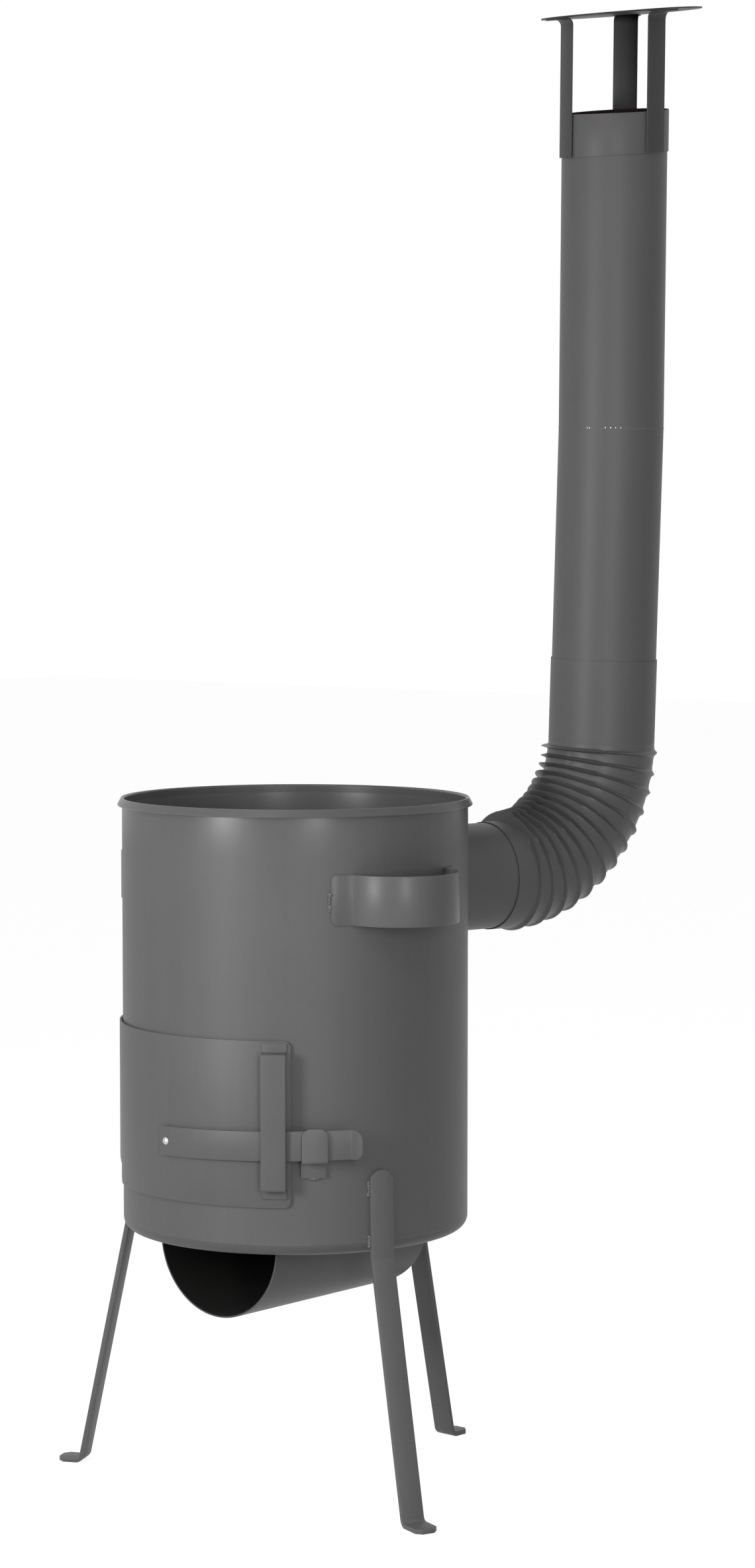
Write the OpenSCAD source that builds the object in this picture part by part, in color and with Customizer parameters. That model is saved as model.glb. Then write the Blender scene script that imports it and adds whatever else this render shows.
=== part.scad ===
// Open-topped sheet-steel cauldron stove on three strap legs, with a pleated flue elbow and a capped pipe.
// Frame: the origin is on the floor under the drum's axis, +Z is up, and -Y is the front, where the ash trough opens.
// An azimuth is an angle about the drum's axis, 0 at the front and growing towards +X.

/* [Drum] */
// Outer diameter of the drum
drum_d = 360; // [330:1:400]
// Height of the drum from its bottom to its rim
drum_h = 449.5; // [430:0.5:520]
// Thickness of the drum's sheet
drum_sheet = 2; // [1.5:0.1:3]
// Height of the drum's bottom above the floor
stand_h = 268; // [200:1:330]
// Outer radius of the corner between the drum's wall and its bottom
corner_r = 12; // [8:0.5:20]
// How far the rolled rim stands out from the wall
rim_out = 4.8; // [3:0.1:7]
// Height of the rolled rim
rim_h = 8; // [6:0.5:12]

/* [Grate and ash trough] */
// Outer diameter of the half-round ash trough under the drum
trough_d = 159; // [140:1:190]
// Length of the trough from its mouth to its back plate
trough_len = 243; // [200:1:270]
// Thickness of the trough's sheet
trough_sheet = 2; // [1.5:0.1:3]
// Width of the window through which ash falls into the trough
window_w = 110; // [70:1:125]
// Distance of the window's ends inside the ends of the trough
window_in = 26.5; // [20:0.5:40]
// Corner radius of that window
window_r = 10; // [4:1:20]
// How far the grate reaches past each end of the trough
grate_over = 0.5; // [0:0.5:10]
// Width of the ring's flat bar
grate_ring_w = 10; // [9:0.5:14]
// Thickness of that bar
grate_ring_t = 5; // [4:0.5:8]
// Diameter of the round bars across the ring
grate_bar_d = 8; // [6:0.5:8.5]
// Distance between the grate's bars
grate_pitch = 25; // [20:1:32]

/* [Legs] */
// Width of the flat bar of the legs
leg_w = 25; // [20:1:30]
// Thickness of that bar
leg_t = 5; // [3:0.5:6]
// Azimuth of the front right leg
leg_right_az = 68.8; // [66:0.1:72]
// Sideways lean of the front right leg, towards larger azimuths
leg_right_sway = 1; // [-2:0.1:2]
// Azimuth of the rear leg
leg_rear_az = 177; // [170:1:190]
// Azimuth of the front left leg
leg_left_az = -66; // [-72:1:-64]
// Length of leg that lies against the wall
leg_lap = 91; // [60:1:92]
// Height of the knee below the drum's bottom
leg_knee_drop = 6; // [2:1:15]
// Slope of the leg away from the vertical
leg_splay = 11.8; // [5:0.1:18]
// Length of the front right foot along the floor, from its heel
foot_right_len = 32; // [20:1:45]
// Length of the other two feet
foot_len = 26; // [20:1:45]
// Chamfer at the foot's two front corners
foot_chamfer = 6; // [3:0.5:9]

/* [Side handles] */
// Azimuth of the middle of the right handle
handle_right_az = 78.5; // [74:0.5:84]
// Azimuth of the middle of the left handle
handle_left_az = -92; // [-96:0.5:-74]
// Height of the drum's rim above the handles' middle
handle_drop = 91; // [70:0.5:130]
// Width of the handle's strap
handle_w = 51; // [35:1:60]
// Thickness of the handle's strap
handle_t = 2; // [1.5:0.5:4]
// Radius of the handle's half-round loop
loop_r = 60; // [45:1:65]
// Distance of the loop's centre inside the drum's wall
loop_inset = 9; // [4:0.5:15]
// Length of the tab at each end of the loop
tab_len = 22; // [12:1:26]
// Corner radius of the tabs
tab_r = 6; // [2:0.5:10]

/* [Door] */
// Azimuth of the door's right edge
door_right_az = 39.2; // [34:0.1:39.5]
// Azimuth of the door's left edge
door_left_az = -39.2; // [-39.5:0.1:-34]
// Azimuth of the edge at which the door hangs, on an ear that reaches past its left edge
hang_az = -60.9; // [-61.5:0.1:-52]
// Height of the ear's lower edge above the door's lower edge, where the ear begins
ear_up = 20; // [12:1:30]
// Rise of that edge towards the hinges
ear_rise = 20; // [20:1:30]
// Height of the door's lower edge above the drum's bottom
door_up = 50; // [40:1:60]
// Height of the door
door_h = 168; // [160:1:200]
// Thickness of the door's sheet
door_t = 2; // [1.5:0.1:3]
// Gap between the door's sheet and the wall
door_gap = 1.3; // [1:0.1:2]
// How far the door laps over the edge of its opening
door_lap = 12; // [8:1:20]
// Corner radius of the door
door_r = 7; // [4:0.5:12]
// Azimuth of the middle of the door's handle
pull_az = 34.2; // [28:0.1:34.3]
// Width of the door handle's strap
pull_w = 25; // [15:1:25]
// Thickness of the door handle's strap
pull_t = 2; // [1.5:0.1:3]
// Length of the door handle's raised part
pull_len = 139; // [110:1:140]
// Length of the tab at each end of that part
pull_tab = 10; // [8:1:12]
// Clear depth behind the raised part
pull_depth = 12; // [10:0.5:20]

/* [Hinges] */
// Diameter of the hinge eyes
eye_d = 7; // [6.5:0.5:9]
// Diameter of the hinge pins
pin_d = 4; // [3:0.1:4.5]
// Gap between each pin and its eyes, on the radius
pin_play = 0.05; // [0.03:0.01:0.1]
// Gap between the lowest point of an eye and the wall
eye_lift = 0.4; // [0.3:0.1:1]
// Height of the eye on the door, in each hinge
door_eye_h = 14; // [10:1:20]
// Height of each of the two eyes on the wall, in each hinge
wall_eye_h = 12; // [8:1:16]
// Gap between two eyes, along the pin
eye_gap = 0.5; // [0.3:0.1:1]
// Height of the lower hinge's middle above the drum's bottom
lower_hinge_up = 110; // [109:1:120]
// Height of the upper hinge's middle above the drum's bottom
upper_hinge_up = 186; // [165:1:190]
// Length of the hinge's leaf on the wall
leaf_len = 18; // [12:1:25]

/* [Latch] */
// Azimuth of the latch bar's rivet
rivet_az = -3.5; // [-6:0.5:0]
// Height of the rivet above the drum's bottom
rivet_up = 110.5; // [105:0.5:115]
// Height of the latch bar
latch_h = 30; // [20:1:32]
// Thickness of the latch bar
latch_t = 2; // [1.5:0.1:3]
// Radius to which the bar is bent, larger than the drum's so that it stands off towards its free end
latch_bend_r = 206; // [202:1:212]
// Length of bar left of the rivet
latch_tail = 9; // [7:1:14]
// Azimuth at which the bar bends out into its finger tab
latch_bend_az = 57.5; // [56:0.5:60]
// Length of the finger tab
finger_len = 16; // [10:1:20]
// Angle by which the finger tab bends out
finger_bend = 60; // [30:5:80]
// Slope of the bar when it is latched
latch_slope = 1.5; // [0:0.1:2]
// Diameter of the rivet's shank
rivet_d = 4; // [3:0.5:5]
// Diameter of the rivet's head
rivet_head_d = 8.3; // [7:0.1:10]
// Height of the rivet's domed head
rivet_head_h = 2.4; // [1.5:0.1:3.5]
// Gap between the rivet's shank and the bar's hole, on the radius
rivet_play = 0.05; // [0.03:0.01:0.1]
// Diameter of the washer behind the bar
washer_d = 14; // [10:0.5:18]
// Thickness of the washer
washer_t = 2; // [1.6:0.1:3]
// Azimuth of the catch
catch_az = 46.4; // [45:0.1:48]
// Width of the catch
catch_w = 26; // [15:1:28]
// Thickness of the catch
catch_t = 2.5; // [2:0.1:3]
// Gap between the bar and the catch's front plate
catch_play = 1.5; // [1.3:0.1:2]
// Height of the catch's front plate over the middle of the bar
catch_over = 17.5; // [10:0.5:18]
// Length of the catch's tab below its seat
catch_tab = 18; // [12:1:25]
// Gap between the bar's lower edge and the catch's seat
catch_seat_gap = 0.3; // [0.3:0.1:1]
// Corner radius at the top of the catch
catch_r = 9; // [4:0.5:10]

/* [Flue stub and elbow] */
// Azimuth of the flue
flue_az = 167; // [150:1:180]
// Outer diameter of the flue pipe and of the stub
flue_d = 114.8; // [100:0.1:122]
// Height of the drum's rim above the stub's axis
stub_drop = 97.5; // [85:0.5:120]
// Thickness of the stub's sheet
stub_sheet = 2; // [1.5:0.1:3]
// Distance from the drum's axis to where the elbow starts to bend
bend_start = 275; // [255:1:300]
// Length of the elbow's straight collar on the stub
inlet_len = 20; // [15:1:30]
// Radius of the elbow's centreline
bend_r = 140; // [125:1:165]
// Length of the elbow's straight collar round the pipe
outlet_len = 92; // [60:1:120]
// Thickness of the elbow's sheet
elbow_sheet = 0.8; // [0.6:0.1:1.5]
// Gap between a collar and the pipe in it, on the radius
slip_gap = 0.3; // [0.3:0.05:0.6]
// How much smaller the bend's bore is than the pipe, on the radius, as the pipe's stop
bend_step = 0.6; // [0.4:0.1:1.5]
// Number of pleats round the bend
pleats = 13; // [9:1:15]
// Height of a pleat on the inside of the bend
pleat_inner_h = 8.5; // [4:0.5:10]
// Height of a pleat on the outside of the bend
pleat_outer_h = 2.6; // [1:0.1:4]
// Width of a pleat at its foot, on the centreline
pleat_foot = 3.4; // [2.5:0.1:5]
// Width of a pleat at its crest, on the centreline
pleat_crest = 1.5; // [0.8:0.1:2]
// Turn of the elbow about the stub, which leans the pipe sideways
elbow_swing = 2.35; // [-5:0.05:5]

/* [Flue pipe and cap] */
// Thickness of the pipe's sheet
pipe_sheet = 1; // [0.8:0.1:2]
// Length of the lower can of the pipe, from the end of the bend
lower_can = 345; // [250:1:450]
// Length of the upper can of the pipe
upper_can = 335; // [250:1:450]
// Angle of the kink between the two cans
can_kink = 1.1; // [0:0.1:2]
// Azimuth about the pipe towards which the upper can leans
can_kink_az = 139.2; // [0:0.1:360]
// Width of the weld between the two cans
can_weld_w = 3; // [2:0.5:5]
// Height of that weld over the pipe
can_weld_h = 0.5; // [0.3:0.1:1]
// Height of the cap's collar
collar_h = 49; // [30:1:70]
// Thickness of the collar's sheet
collar_sheet = 1; // [0.8:0.1:2]
// How far the middle of the collar's upper end lies above the pipe's end
collar_over = 16; // [12:1:20]
// Tilt of the collar's two ends, which are cut askew
collar_tilt = 8.5; // [0:0.5:9]
// Azimuth about the pipe towards which those ends slope down
collar_tilt_az = -160; // [-180:1:180]
// Width of the cap's straps
strap_w = 27; // [20:1:35]
// Thickness of the straps
strap_t = 1.5; // [1:0.1:2.5]
// Radius of the bend at the top of the straps
strap_bend = 7; // [4:0.5:10]
// Length of the tab at the top of the straps
strap_tab = 12; // [8:1:16]
// Azimuth of the rear strap about the pipe
strap_rear_az = 38.6; // [30:0.1:60]
// Azimuth of the front strap about the pipe
strap_front_az = 167.1; // [150:0.1:185]
// Azimuth of the right strap about the pipe
strap_right_az = -83.8; // [-95:0.1:-60]
// Clear height from the middle of the collar's upper end to the middle of the disc
cap_clear = 96.5; // [80:0.5:140]
// Diameter of the disc
disc_d = 175; // [172:1:220]
// Distance of the disc's middle from the pipe's axis
disc_shift = 6; // [0:0.5:6]
// Azimuth about the pipe towards which the disc is shifted
disc_shift_az = -40.8; // [-180:0.1:180]
// Thickness of the disc
disc_t = 1.5; // [1:0.1:3]
// Tilt of the disc towards the drum, from straps of unequal length
disc_tilt = 7; // [0:0.5:8]

/* [Welds] */
// Radius of the beads beside the legs and the side handles
bead_r = 3; // [2:0.5:3.5]
// Height of the lowest beads of a leg above the drum's bottom
bead_up = 9; // [4:1:20]
// Distance of the highest beads of a leg below its top
bead_down = 16; // [13:1:25]
// Distance between two beads of a pair
bead_pitch = 7; // [3:0.5:10]
// Height of a handle's beads above and below its middle
handle_bead_up = 5.5; // [3:0.5:15]
// Radius of the bead below the catch's foot
foot_bead_r = 3.2; // [2:0.1:4]
// Distance of that bead to the right of the catch's middle
foot_bead_off = 2; // [0:0.5:6]
// Width of the weld round the stub, on both faces
stub_weld_w = 3; // [2:0.5:5]

/* [Hidden] */
$fn = 96;

paint = [0.38, 0.38, 0.385];
paint_dark = [0.27, 0.27, 0.275];
bare_steel = [0.42, 0.40, 0.38];
zinc = [0.80, 0.80, 0.80];

// Gap that keeps a flat or round face just off the face that it is welded to
seat_gap = 0.1;
// Overrun of a cutting body past the faces that it cuts
eps = 1;

drum_r = drum_d / 2;
rim_z = stand_h + drum_h;
grate_d = trough_len + 2 * grate_over;
window_len = trough_len - 2 * window_in;
leg_top_z = stand_h - leg_knee_drop + leg_lap;
handle_z = rim_z - handle_drop;
door_z = stand_h + door_up;
door_in_r = drum_r + door_gap;
door_out_r = door_in_r + door_t;
hinge_r = drum_r + eye_lift + eye_d / 2;
hinge_setback = eye_d / 2 + 1.3;
hinge_az = hang_az - degrees(hinge_setback / hinge_r);
hinge_heights = [stand_h + lower_hinge_up, stand_h + upper_hinge_up];
hinge_h = door_eye_h + 2 * wall_eye_h + 2 * eye_gap;
rivet_z = stand_h + rivet_up;
// How far the bar's curve dips towards the door over half of the washer's width
latch_dip = pow(washer_d, 2) / 8 / latch_bend_r;
latch_in_r = door_out_r + washer_t + 3 * seat_gap + latch_dip;
latch_mid_r = latch_in_r + latch_t / 2;
latch_mid_bend_r = latch_bend_r + latch_t / 2;
latch_offset = latch_mid_bend_r - latch_mid_r;
catch_from_rivet = catch_az - rivet_az;
catch_bar_r = latch_radius(catch_from_rivet);
catch_left_edge = catch_from_rivet - degrees(catch_w / 2 / catch_bar_r);
catch_seat_z = rivet_z + catch_bar_r * sin(catch_left_edge) * sin(latch_slope)
    - latch_h / 2 - catch_seat_gap - catch_t / 2;
stub_z = rim_z - stub_drop;
pipe_r = flue_d / 2;
elbow_in_r = pipe_r + slip_gap;
elbow_out_r = elbow_in_r + elbow_sheet;
cap_base = upper_can + collar_over - collar_h;
collar_out_r = pipe_r + slip_gap + collar_sheet;
strap_r = collar_out_r + seat_gap + strap_t / 2;
disc_low = cap_base + collar_h + cap_clear;

function degrees(radians) = radians * 180 / PI;
function unit(v) = v / norm(v);
function left_of(v) = [-v.y, v.x];
function on_circle(r, az) = [r * sin(az), -r * cos(az)];

// Vector from a path's point i to the edge of a ribbon of half-width 1, square to both runs that meet there
function edge_step(p, i) =
    let (before = unit(p[max(i, 1)] - p[max(i, 1) - 1]))
    let (after = unit(p[min(i + 1, len(p) - 1)] - p[min(i + 1, len(p) - 1) - 1]))
    let (n = left_of(before) + left_of(after))
    2 * n / (n * n);

// The arc of radius r that replaces corner b between a and c
function corner_arc(a, b, c, r, steps) =
    let (to_a = unit(a - b), to_c = unit(c - b))
    let (angle = acos(to_a * to_c), turn = 180 - angle)
    let (reach = r / tan(angle / 2))
    let (centre = b + unit(to_a + to_c) * r / sin(angle / 2))
    let (first = b + to_a * reach - centre, last = b + to_c * reach - centre)
    [for (k = [0:steps]) centre + (sin((1 - k / steps) * turn) * first + sin(k / steps * turn) * last) / sin(turn)];

// A path whose inner corners are rounded to radius r
function rounded(p, r, steps = 6) = [
    p[0],
    for (i = [1:len(p) - 2]) each corner_arc(p[i - 1], p[i], p[i + 1], r, steps),
    p[len(p) - 1]
];

// Radius of the latch bar's middle surface at an angle from the rivet
function latch_radius(angle) =
    -latch_offset * cos(angle) + sqrt(pow(latch_mid_bend_r, 2) - pow(latch_offset * sin(angle), 2));

module ribbon(path, t) {
    polygon(concat(
        [for (i = [0:len(path) - 1]) path[i] + edge_step(path, i) * t / 2],
        [for (i = [len(path) - 1:-1:0]) path[i] - edge_step(path, i) * t / 2]
    ));
}

module strip(path, t, w) {
    linear_extrude(height = w, center = true) ribbon(path, t);
}

module at_azimuth(az) {
    rotate([0, 0, az]) children();
}

// Turns a drawing of radius against height into the upright plane at an azimuth
module in_radial_plane(az) {
    rotate([90, 0, az - 90]) children();
}

module annulus(r_out, r_in, h) {
    difference() {
        cylinder(r = r_out, h = h);
        translate([0, 0, -eps]) cylinder(r = r_in, h = h + 2 * eps);
    }
}

// A piece of a round wall between two azimuths
module wall_sector(r_in, r_out, az_from, az_to, h) {
    rotate([0, 0, az_from - 90])
        rotate_extrude(angle = az_to - az_from) translate([r_in, 0]) square([r_out - r_in, h]);
}

module rounded_rect(w, h, r) {
    square([w - 2 * r, h], center = true);
    square([w, h - 2 * r], center = true);
    for (x = [-1, 1], y = [-1, 1]) translate([x * (w / 2 - r), y * (h / 2 - r)]) circle(r);
}

// What a round corner of radius r leaves of its square, with the corner's point at the origin of -x and -y.
// The arc crosses both edges at a slight angle, because one that only touches them leaves slivers on a bent sheet.
module corner_waste(r, depth) {
    translate([-r, -r, 0]) difference() {
        translate([0, 0, -depth / 2]) cube([r + eps, r + eps, depth]);
        cylinder(r = 1.01 * r, h = depth + 2 * eps, center = true);
    }
}

// A solid skinned over rings of equally many points; a closed one has no end faces
module skin(rings, closed) {
    n = len(rings[0]);
    m = len(rings);
    points = [for (ring = rings) each ring];
    sides = [
        for (i = [0:(closed ? m : m - 1) - 1], k = [0:n - 1])
            let (j = (i + 1) % m, l = (k + 1) % n)
                each [[i * n + k, j * n + k, j * n + l], [i * n + k, j * n + l, i * n + l]]
    ];
    ends = closed ? [] : [[for (k = [0:n - 1]) k], [for (k = [n - 1:-1:0]) (m - 1) * n + k]];
    polyhedron(points, concat(sides, ends));
}

module drum_wall() {
    color(paint) difference() {
        translate([0, 0, stand_h]) rotate_extrude() drum_wall_profile();
        door_opening();
        at_azimuth(flue_az) translate([0, 0, stub_z]) rotate([90, 0, 0])
            cylinder(r = pipe_r - stub_sheet, h = drum_r + rim_out);
    }
}

module drum_wall_profile() {
    inner_r = drum_r - drum_sheet;
    flat = 1;
    lip_edge = rim_out - flat;
    translate([inner_r, corner_r]) square([drum_sheet, drum_h - corner_r - rim_h]);
    difference() {
        translate([inner_r, drum_h - rim_h]) square([drum_sheet + rim_out, rim_h]);
        translate([drum_r + flat, drum_h]) polygon([
            [0, 0], [lip_edge, -rim_h + flat], [lip_edge - flat / 2, -rim_h], [lip_edge + eps, -rim_h - eps],
            [lip_edge + eps, eps], [0, eps]
        ]);
        difference() {
            translate([inner_r - eps, drum_h - drum_sheet]) square([drum_sheet + eps, drum_sheet + eps]);
            translate([drum_r, drum_h - drum_sheet]) circle(drum_sheet);
        }
    }
}

module door_opening() {
    lap_angle = degrees(door_lap / drum_r);
    translate([0, 0, door_z + door_lap]) wall_sector(
        drum_r - drum_sheet - eps, drum_r + eps, door_left_az + lap_angle, door_right_az - lap_angle,
        door_h - 2 * door_lap
    );
}

module drum_bottom() {
    color(paint_dark) difference() {
        translate([0, 0, stand_h]) rotate_extrude() {
            square([drum_r - corner_r, drum_sheet]);
            intersection() {
                translate([drum_r - corner_r, corner_r]) difference() {
                    circle(corner_r);
                    circle(corner_r - drum_sheet);
                }
                translate([drum_r - corner_r, 0]) square(corner_r);
            }
        }
        translate([0, 0, stand_h - eps]) linear_extrude(drum_sheet + 2 * eps)
            rounded_rect(window_w, window_len, window_r);
    }
}

module half_round(r, len) {
    rotate([90, 0, 0]) difference() {
        cylinder(r = r, h = len);
        translate([-r - eps, 0, -eps]) cube([2 * (r + eps), r + eps, len + 2 * eps]);
    }
}

module ash_trough() {
    color(paint) translate([0, trough_len / 2, stand_h]) difference() {
        half_round(trough_d / 2, trough_len);
        translate([0, eps, 0]) rotate([90, 0, 0])
            cylinder(r = trough_d / 2 - trough_sheet, h = trough_len + 2 * eps);
    }
}

module trough_back_plate() {
    color(paint) translate([0, trough_len / 2 + trough_sheet, stand_h]) half_round(trough_d / 2, trough_sheet);
}

module fire_grate() {
    ring_in_r = grate_d / 2 - grate_ring_t;
    reach = ring_in_r + grate_ring_t / 2;
    side_bars = floor((ring_in_r - grate_bar_d) / grate_pitch);
    color(bare_steel) translate([0, 0, stand_h + drum_sheet + seat_gap]) {
        annulus(grate_d / 2, ring_in_r, grate_ring_w);
        for (i = [-side_bars:side_bars]) {
            half_len = sqrt(pow(reach, 2) - pow(i * grate_pitch, 2));
            translate([i * grate_pitch, half_len, grate_ring_w / 2]) rotate([90, 0, 0])
                cylinder(r = grate_bar_d / 2, h = 2 * half_len);
        }
    }
}

// A leg that leans sideways about the middle of its top, with its foot cut flat to the floor
module leg(az, foot, sway = 0) {
    mid_r = drum_r + seat_gap + leg_t / 2;
    knee_z = stand_h - leg_knee_drop;
    foot_z = leg_t / 2 - leg_w / 2 * sin(abs(sway)) - leg_top_z * (1 - cos(sway));
    heel_r = mid_r + (knee_z - foot_z) * tan(leg_splay);
    toe_r = heel_r + foot;
    path = rounded([[mid_r, leg_top_z], [mid_r, knee_z], [heel_r, foot_z], [toe_r, foot_z]], 1.5 * leg_t);
    color(paint) difference() {
        at_azimuth(az) translate([0, 0, leg_top_z]) rotate([0, -sway, 0]) translate([0, 0, -leg_top_z]) difference() {
            in_radial_plane(0) strip(path, leg_t, leg_w);
            translate([0, -mid_r, leg_top_z]) rotate([90, 0, 0])
                for (side = [0, 1]) mirror([side, 0, 0])
                    translate([leg_w / 2, 0, 0]) corner_waste(leg_w / 2, 2 * leg_t);
            translate([0, -toe_r, foot_z])
                for (side = [0, 1]) mirror([side, 0, 0])
                    translate([leg_w / 2, 0, 0]) rotate([0, 0, -45])
                        cube([foot_chamfer * sqrt(2), 2 * leg_w, 2 * leg_t], center = true);
        }
        if (sway != 0) translate([0, 0, -leg_w]) cylinder(r = 2 * toe_r, h = leg_w);
    }
}

module leg_front_right() {
    leg(leg_right_az, foot_right_len, leg_right_sway);
}

module leg_front_left() {
    leg(leg_left_az, foot_len);
}

module leg_rear() {
    leg(leg_rear_az, foot_len);
}

// Half of the angle between the two feet of a side handle's loop
function loop_half_angle() =
    let (centre = drum_r - loop_inset, r = drum_r + seat_gap + handle_t / 2)
    acos((r * r + centre * centre - loop_r * loop_r) / (2 * r * centre));

module side_handle(az) {
    centre = drum_r - loop_inset;
    mid_r = drum_r + seat_gap + handle_t / 2;
    foot = loop_half_angle();
    tab = degrees(tab_len / mid_r);
    foot_at = on_circle(mid_r, foot);
    start = atan2(foot_at.x, -foot_at.y - centre);
    arc_steps = 24;
    tab_steps = 3;
    path = concat(
        [for (k = [0:tab_steps]) on_circle(mid_r, -foot - tab * (1 - k / tab_steps))],
        [for (k = [1:arc_steps - 1])
            let (a = start * (2 * k / arc_steps - 1)) [loop_r * sin(a), -centre - loop_r * cos(a)]],
        [for (k = [0:tab_steps]) on_circle(mid_r, foot + tab * k / tab_steps)]
    );
    at_azimuth(az) translate([0, 0, handle_z]) difference() {
        strip(path, handle_t, handle_w);
        for (side = [0, 1], top = [0, 1]) mirror([side, 0, 0]) mirror([0, 0, top])
            at_azimuth(foot + tab) translate([0, -mid_r, handle_w / 2]) rotate([90, 0, 0])
                corner_waste(tab_r, 4 * handle_t);
    }
}

module side_handle_right() {
    color(paint) side_handle(handle_right_az);
}

module side_handle_left() {
    color(paint) side_handle(handle_left_az);
}

module wall_hinge_eyes() {
    leaf_t = eye_lift + drum_sheet;
    leaf_angle = degrees(leaf_len / drum_r);
    color(paint) for (z = hinge_heights, end = [-1, 1])
        translate([0, 0, z + end * (door_eye_h / 2 + eye_gap + wall_eye_h / 2) - wall_eye_h / 2])
            difference() {
                union() {
                    at_azimuth(hinge_az) translate([0, -hinge_r, 0]) cylinder(r = eye_d / 2, h = wall_eye_h);
                    wall_sector(
                        drum_r + seat_gap, drum_r + leaf_t, hinge_az - leaf_angle, hinge_az, wall_eye_h
                    );
                }
                at_azimuth(hinge_az) translate([0, -hinge_r, -eps])
                    cylinder(r = pin_d / 2 + pin_play, h = wall_eye_h + 2 * eps);
            }
}

module door_hinge_eyes() {
    color(paint) for (z = hinge_heights) translate([0, 0, z - door_eye_h / 2]) difference() {
        union() {
            at_azimuth(hinge_az) translate([0, -hinge_r, 0]) cylinder(r = eye_d / 2, h = door_eye_h);
            wall_sector(door_in_r, door_out_r, hinge_az, hang_az, door_eye_h);
        }
        at_azimuth(hinge_az) translate([0, -hinge_r, -eps])
            cylinder(r = pin_d / 2 + pin_play, h = door_eye_h + 2 * eps);
    }
}

module hinge_pins() {
    head_h = 1.5;
    head_r = eye_d / 2 - 0.4;
    color(zinc) for (z = hinge_heights) at_azimuth(hinge_az) translate([0, -hinge_r, z - hinge_h / 2 - head_h]) {
        cylinder(r = pin_d / 2, h = hinge_h + 2 * head_h);
        cylinder(r = head_r, h = head_h - seat_gap);
        translate([0, 0, hinge_h + head_h + seat_gap]) cylinder(r = head_r, h = head_h - seat_gap);
    }
}

module door_plate() {
    color(paint) difference() {
        translate([0, 0, door_z]) wall_sector(door_in_r, door_out_r, hang_az, door_right_az, door_h);
        below_ear();
        for (top = [0, 1], left = [0, 1])
            at_azimuth(left == 0 ? door_right_az : top == 1 ? hang_az : door_left_az)
                translate([0, -door_out_r, door_z + top * door_h]) mirror([left, 0, 0]) mirror([0, 0, 1 - top])
                    rotate([90, 0, 0]) corner_waste(door_r, 8 * door_t);
        rivet_hole();
    }
}

// What the door lacks below its ear
module below_ear() {
    half_w = door_out_r * sin((door_left_az - hang_az) / 2);
    overrun = eps * ear_rise / (2 * half_w);
    intersection() {
        translate([0, 0, door_z - eps])
            wall_sector(door_in_r - eps, door_out_r + eps, hang_az - eps, door_left_az, door_h);
        at_azimuth((hang_az + door_left_az) / 2) rotate([90, 0, 0]) linear_extrude(drum_d) polygon([
            [half_w + eps, door_z - 2 * eps], [half_w + eps, door_z + ear_up - overrun],
            [-half_w - 2 * eps, door_z + ear_up + ear_rise + 2 * overrun], [-half_w - 2 * eps, door_z - 2 * eps]
        ]);
    }
}

module rivet_hole() {
    at_azimuth(rivet_az) translate([0, 0, rivet_z]) rotate([90, 0, 0])
        cylinder(r = rivet_d / 2 + rivet_play, h = 2 * drum_r);
}

module door_handle() {
    tab_r_mid = door_out_r + seat_gap + pull_t / 2;
    raised_r = door_out_r + pull_depth + pull_t / 2;
    middle_z = door_z + door_h / 2 + 3.5;
    raised = pull_len / 2 - pull_t / 2;
    end = raised + pull_tab;
    color(paint) in_radial_plane(pull_az) translate([0, middle_z, 0]) strip(rounded([
        [tab_r_mid, -end], [tab_r_mid, -raised], [raised_r, -raised],
        [raised_r, raised], [tab_r_mid, raised], [tab_r_mid, end]
    ], pull_t), pull_t, pull_w);
}

// The frame of the latched bar: its rivet at the origin of the radial axis, sloping up to the right
module latch_frame() {
    at_azimuth(rivet_az) translate([0, 0, rivet_z]) rotate([0, -latch_slope, 0]) children();
}

module latch_bar() {
    bend_angle = latch_bend_az - rivet_az;
    bend_at = latch_radius(bend_angle);
    end_angle = atan2(bend_at * sin(bend_angle), bend_at * cos(bend_angle) + latch_offset);
    start_angle = -degrees(latch_tail / latch_mid_bend_r);
    arc_steps = 24;
    arc = [
        for (k = [0:arc_steps])
            let (a = start_angle + (end_angle - start_angle) * k / arc_steps)
                [latch_mid_bend_r * sin(a), latch_offset - latch_mid_bend_r * cos(a)]
    ];
    out = end_angle - finger_bend;
    tip = arc[arc_steps] + finger_len * [cos(out), sin(out)];
    path = concat(
        [for (k = [0:arc_steps - 1]) arc[k]],
        corner_arc(arc[arc_steps - 1], arc[arc_steps], tip, 1.5 * latch_t, 4),
        [tip]
    );
    color(paint) latch_frame() difference() {
        strip(path, latch_t, latch_h);
        rotate([90, 0, 0]) cylinder(r = rivet_d / 2 + rivet_play, h = 2 * drum_r);
        translate([tip.x, tip.y, 0]) rotate([0, 0, out]) for (top = [0, 1]) mirror([0, 0, top])
            translate([0, 0, latch_h / 2]) rotate([90, 0, 0]) corner_waste(0.4 * latch_h, 4 * latch_t);
    }
}

module latch_rivet() {
    tail_h = 1.2;
    tail_r = 0.8 * rivet_head_d / 2;
    head_r = rivet_head_d / 2;
    dome_r = (pow(head_r, 2) + pow(rivet_head_h, 2)) / (2 * rivet_head_h);
    head_at = latch_in_r + latch_t + seat_gap;
    color(zinc) at_azimuth(rivet_az) translate([0, 0, rivet_z]) rotate([90, 0, 0]) {
        translate([0, 0, door_in_r - seat_gap - tail_h]) cylinder(r = tail_r, h = tail_h);
        translate([0, 0, door_in_r - seat_gap - tail_h])
            cylinder(r = rivet_d / 2, h = head_at - door_in_r + 2 * tail_h);
        translate([0, 0, head_at]) intersection() {
            translate([0, 0, rivet_head_h - dome_r]) sphere(r = dome_r);
            cylinder(r = head_r, h = rivet_head_h);
        }
    }
}

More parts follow.
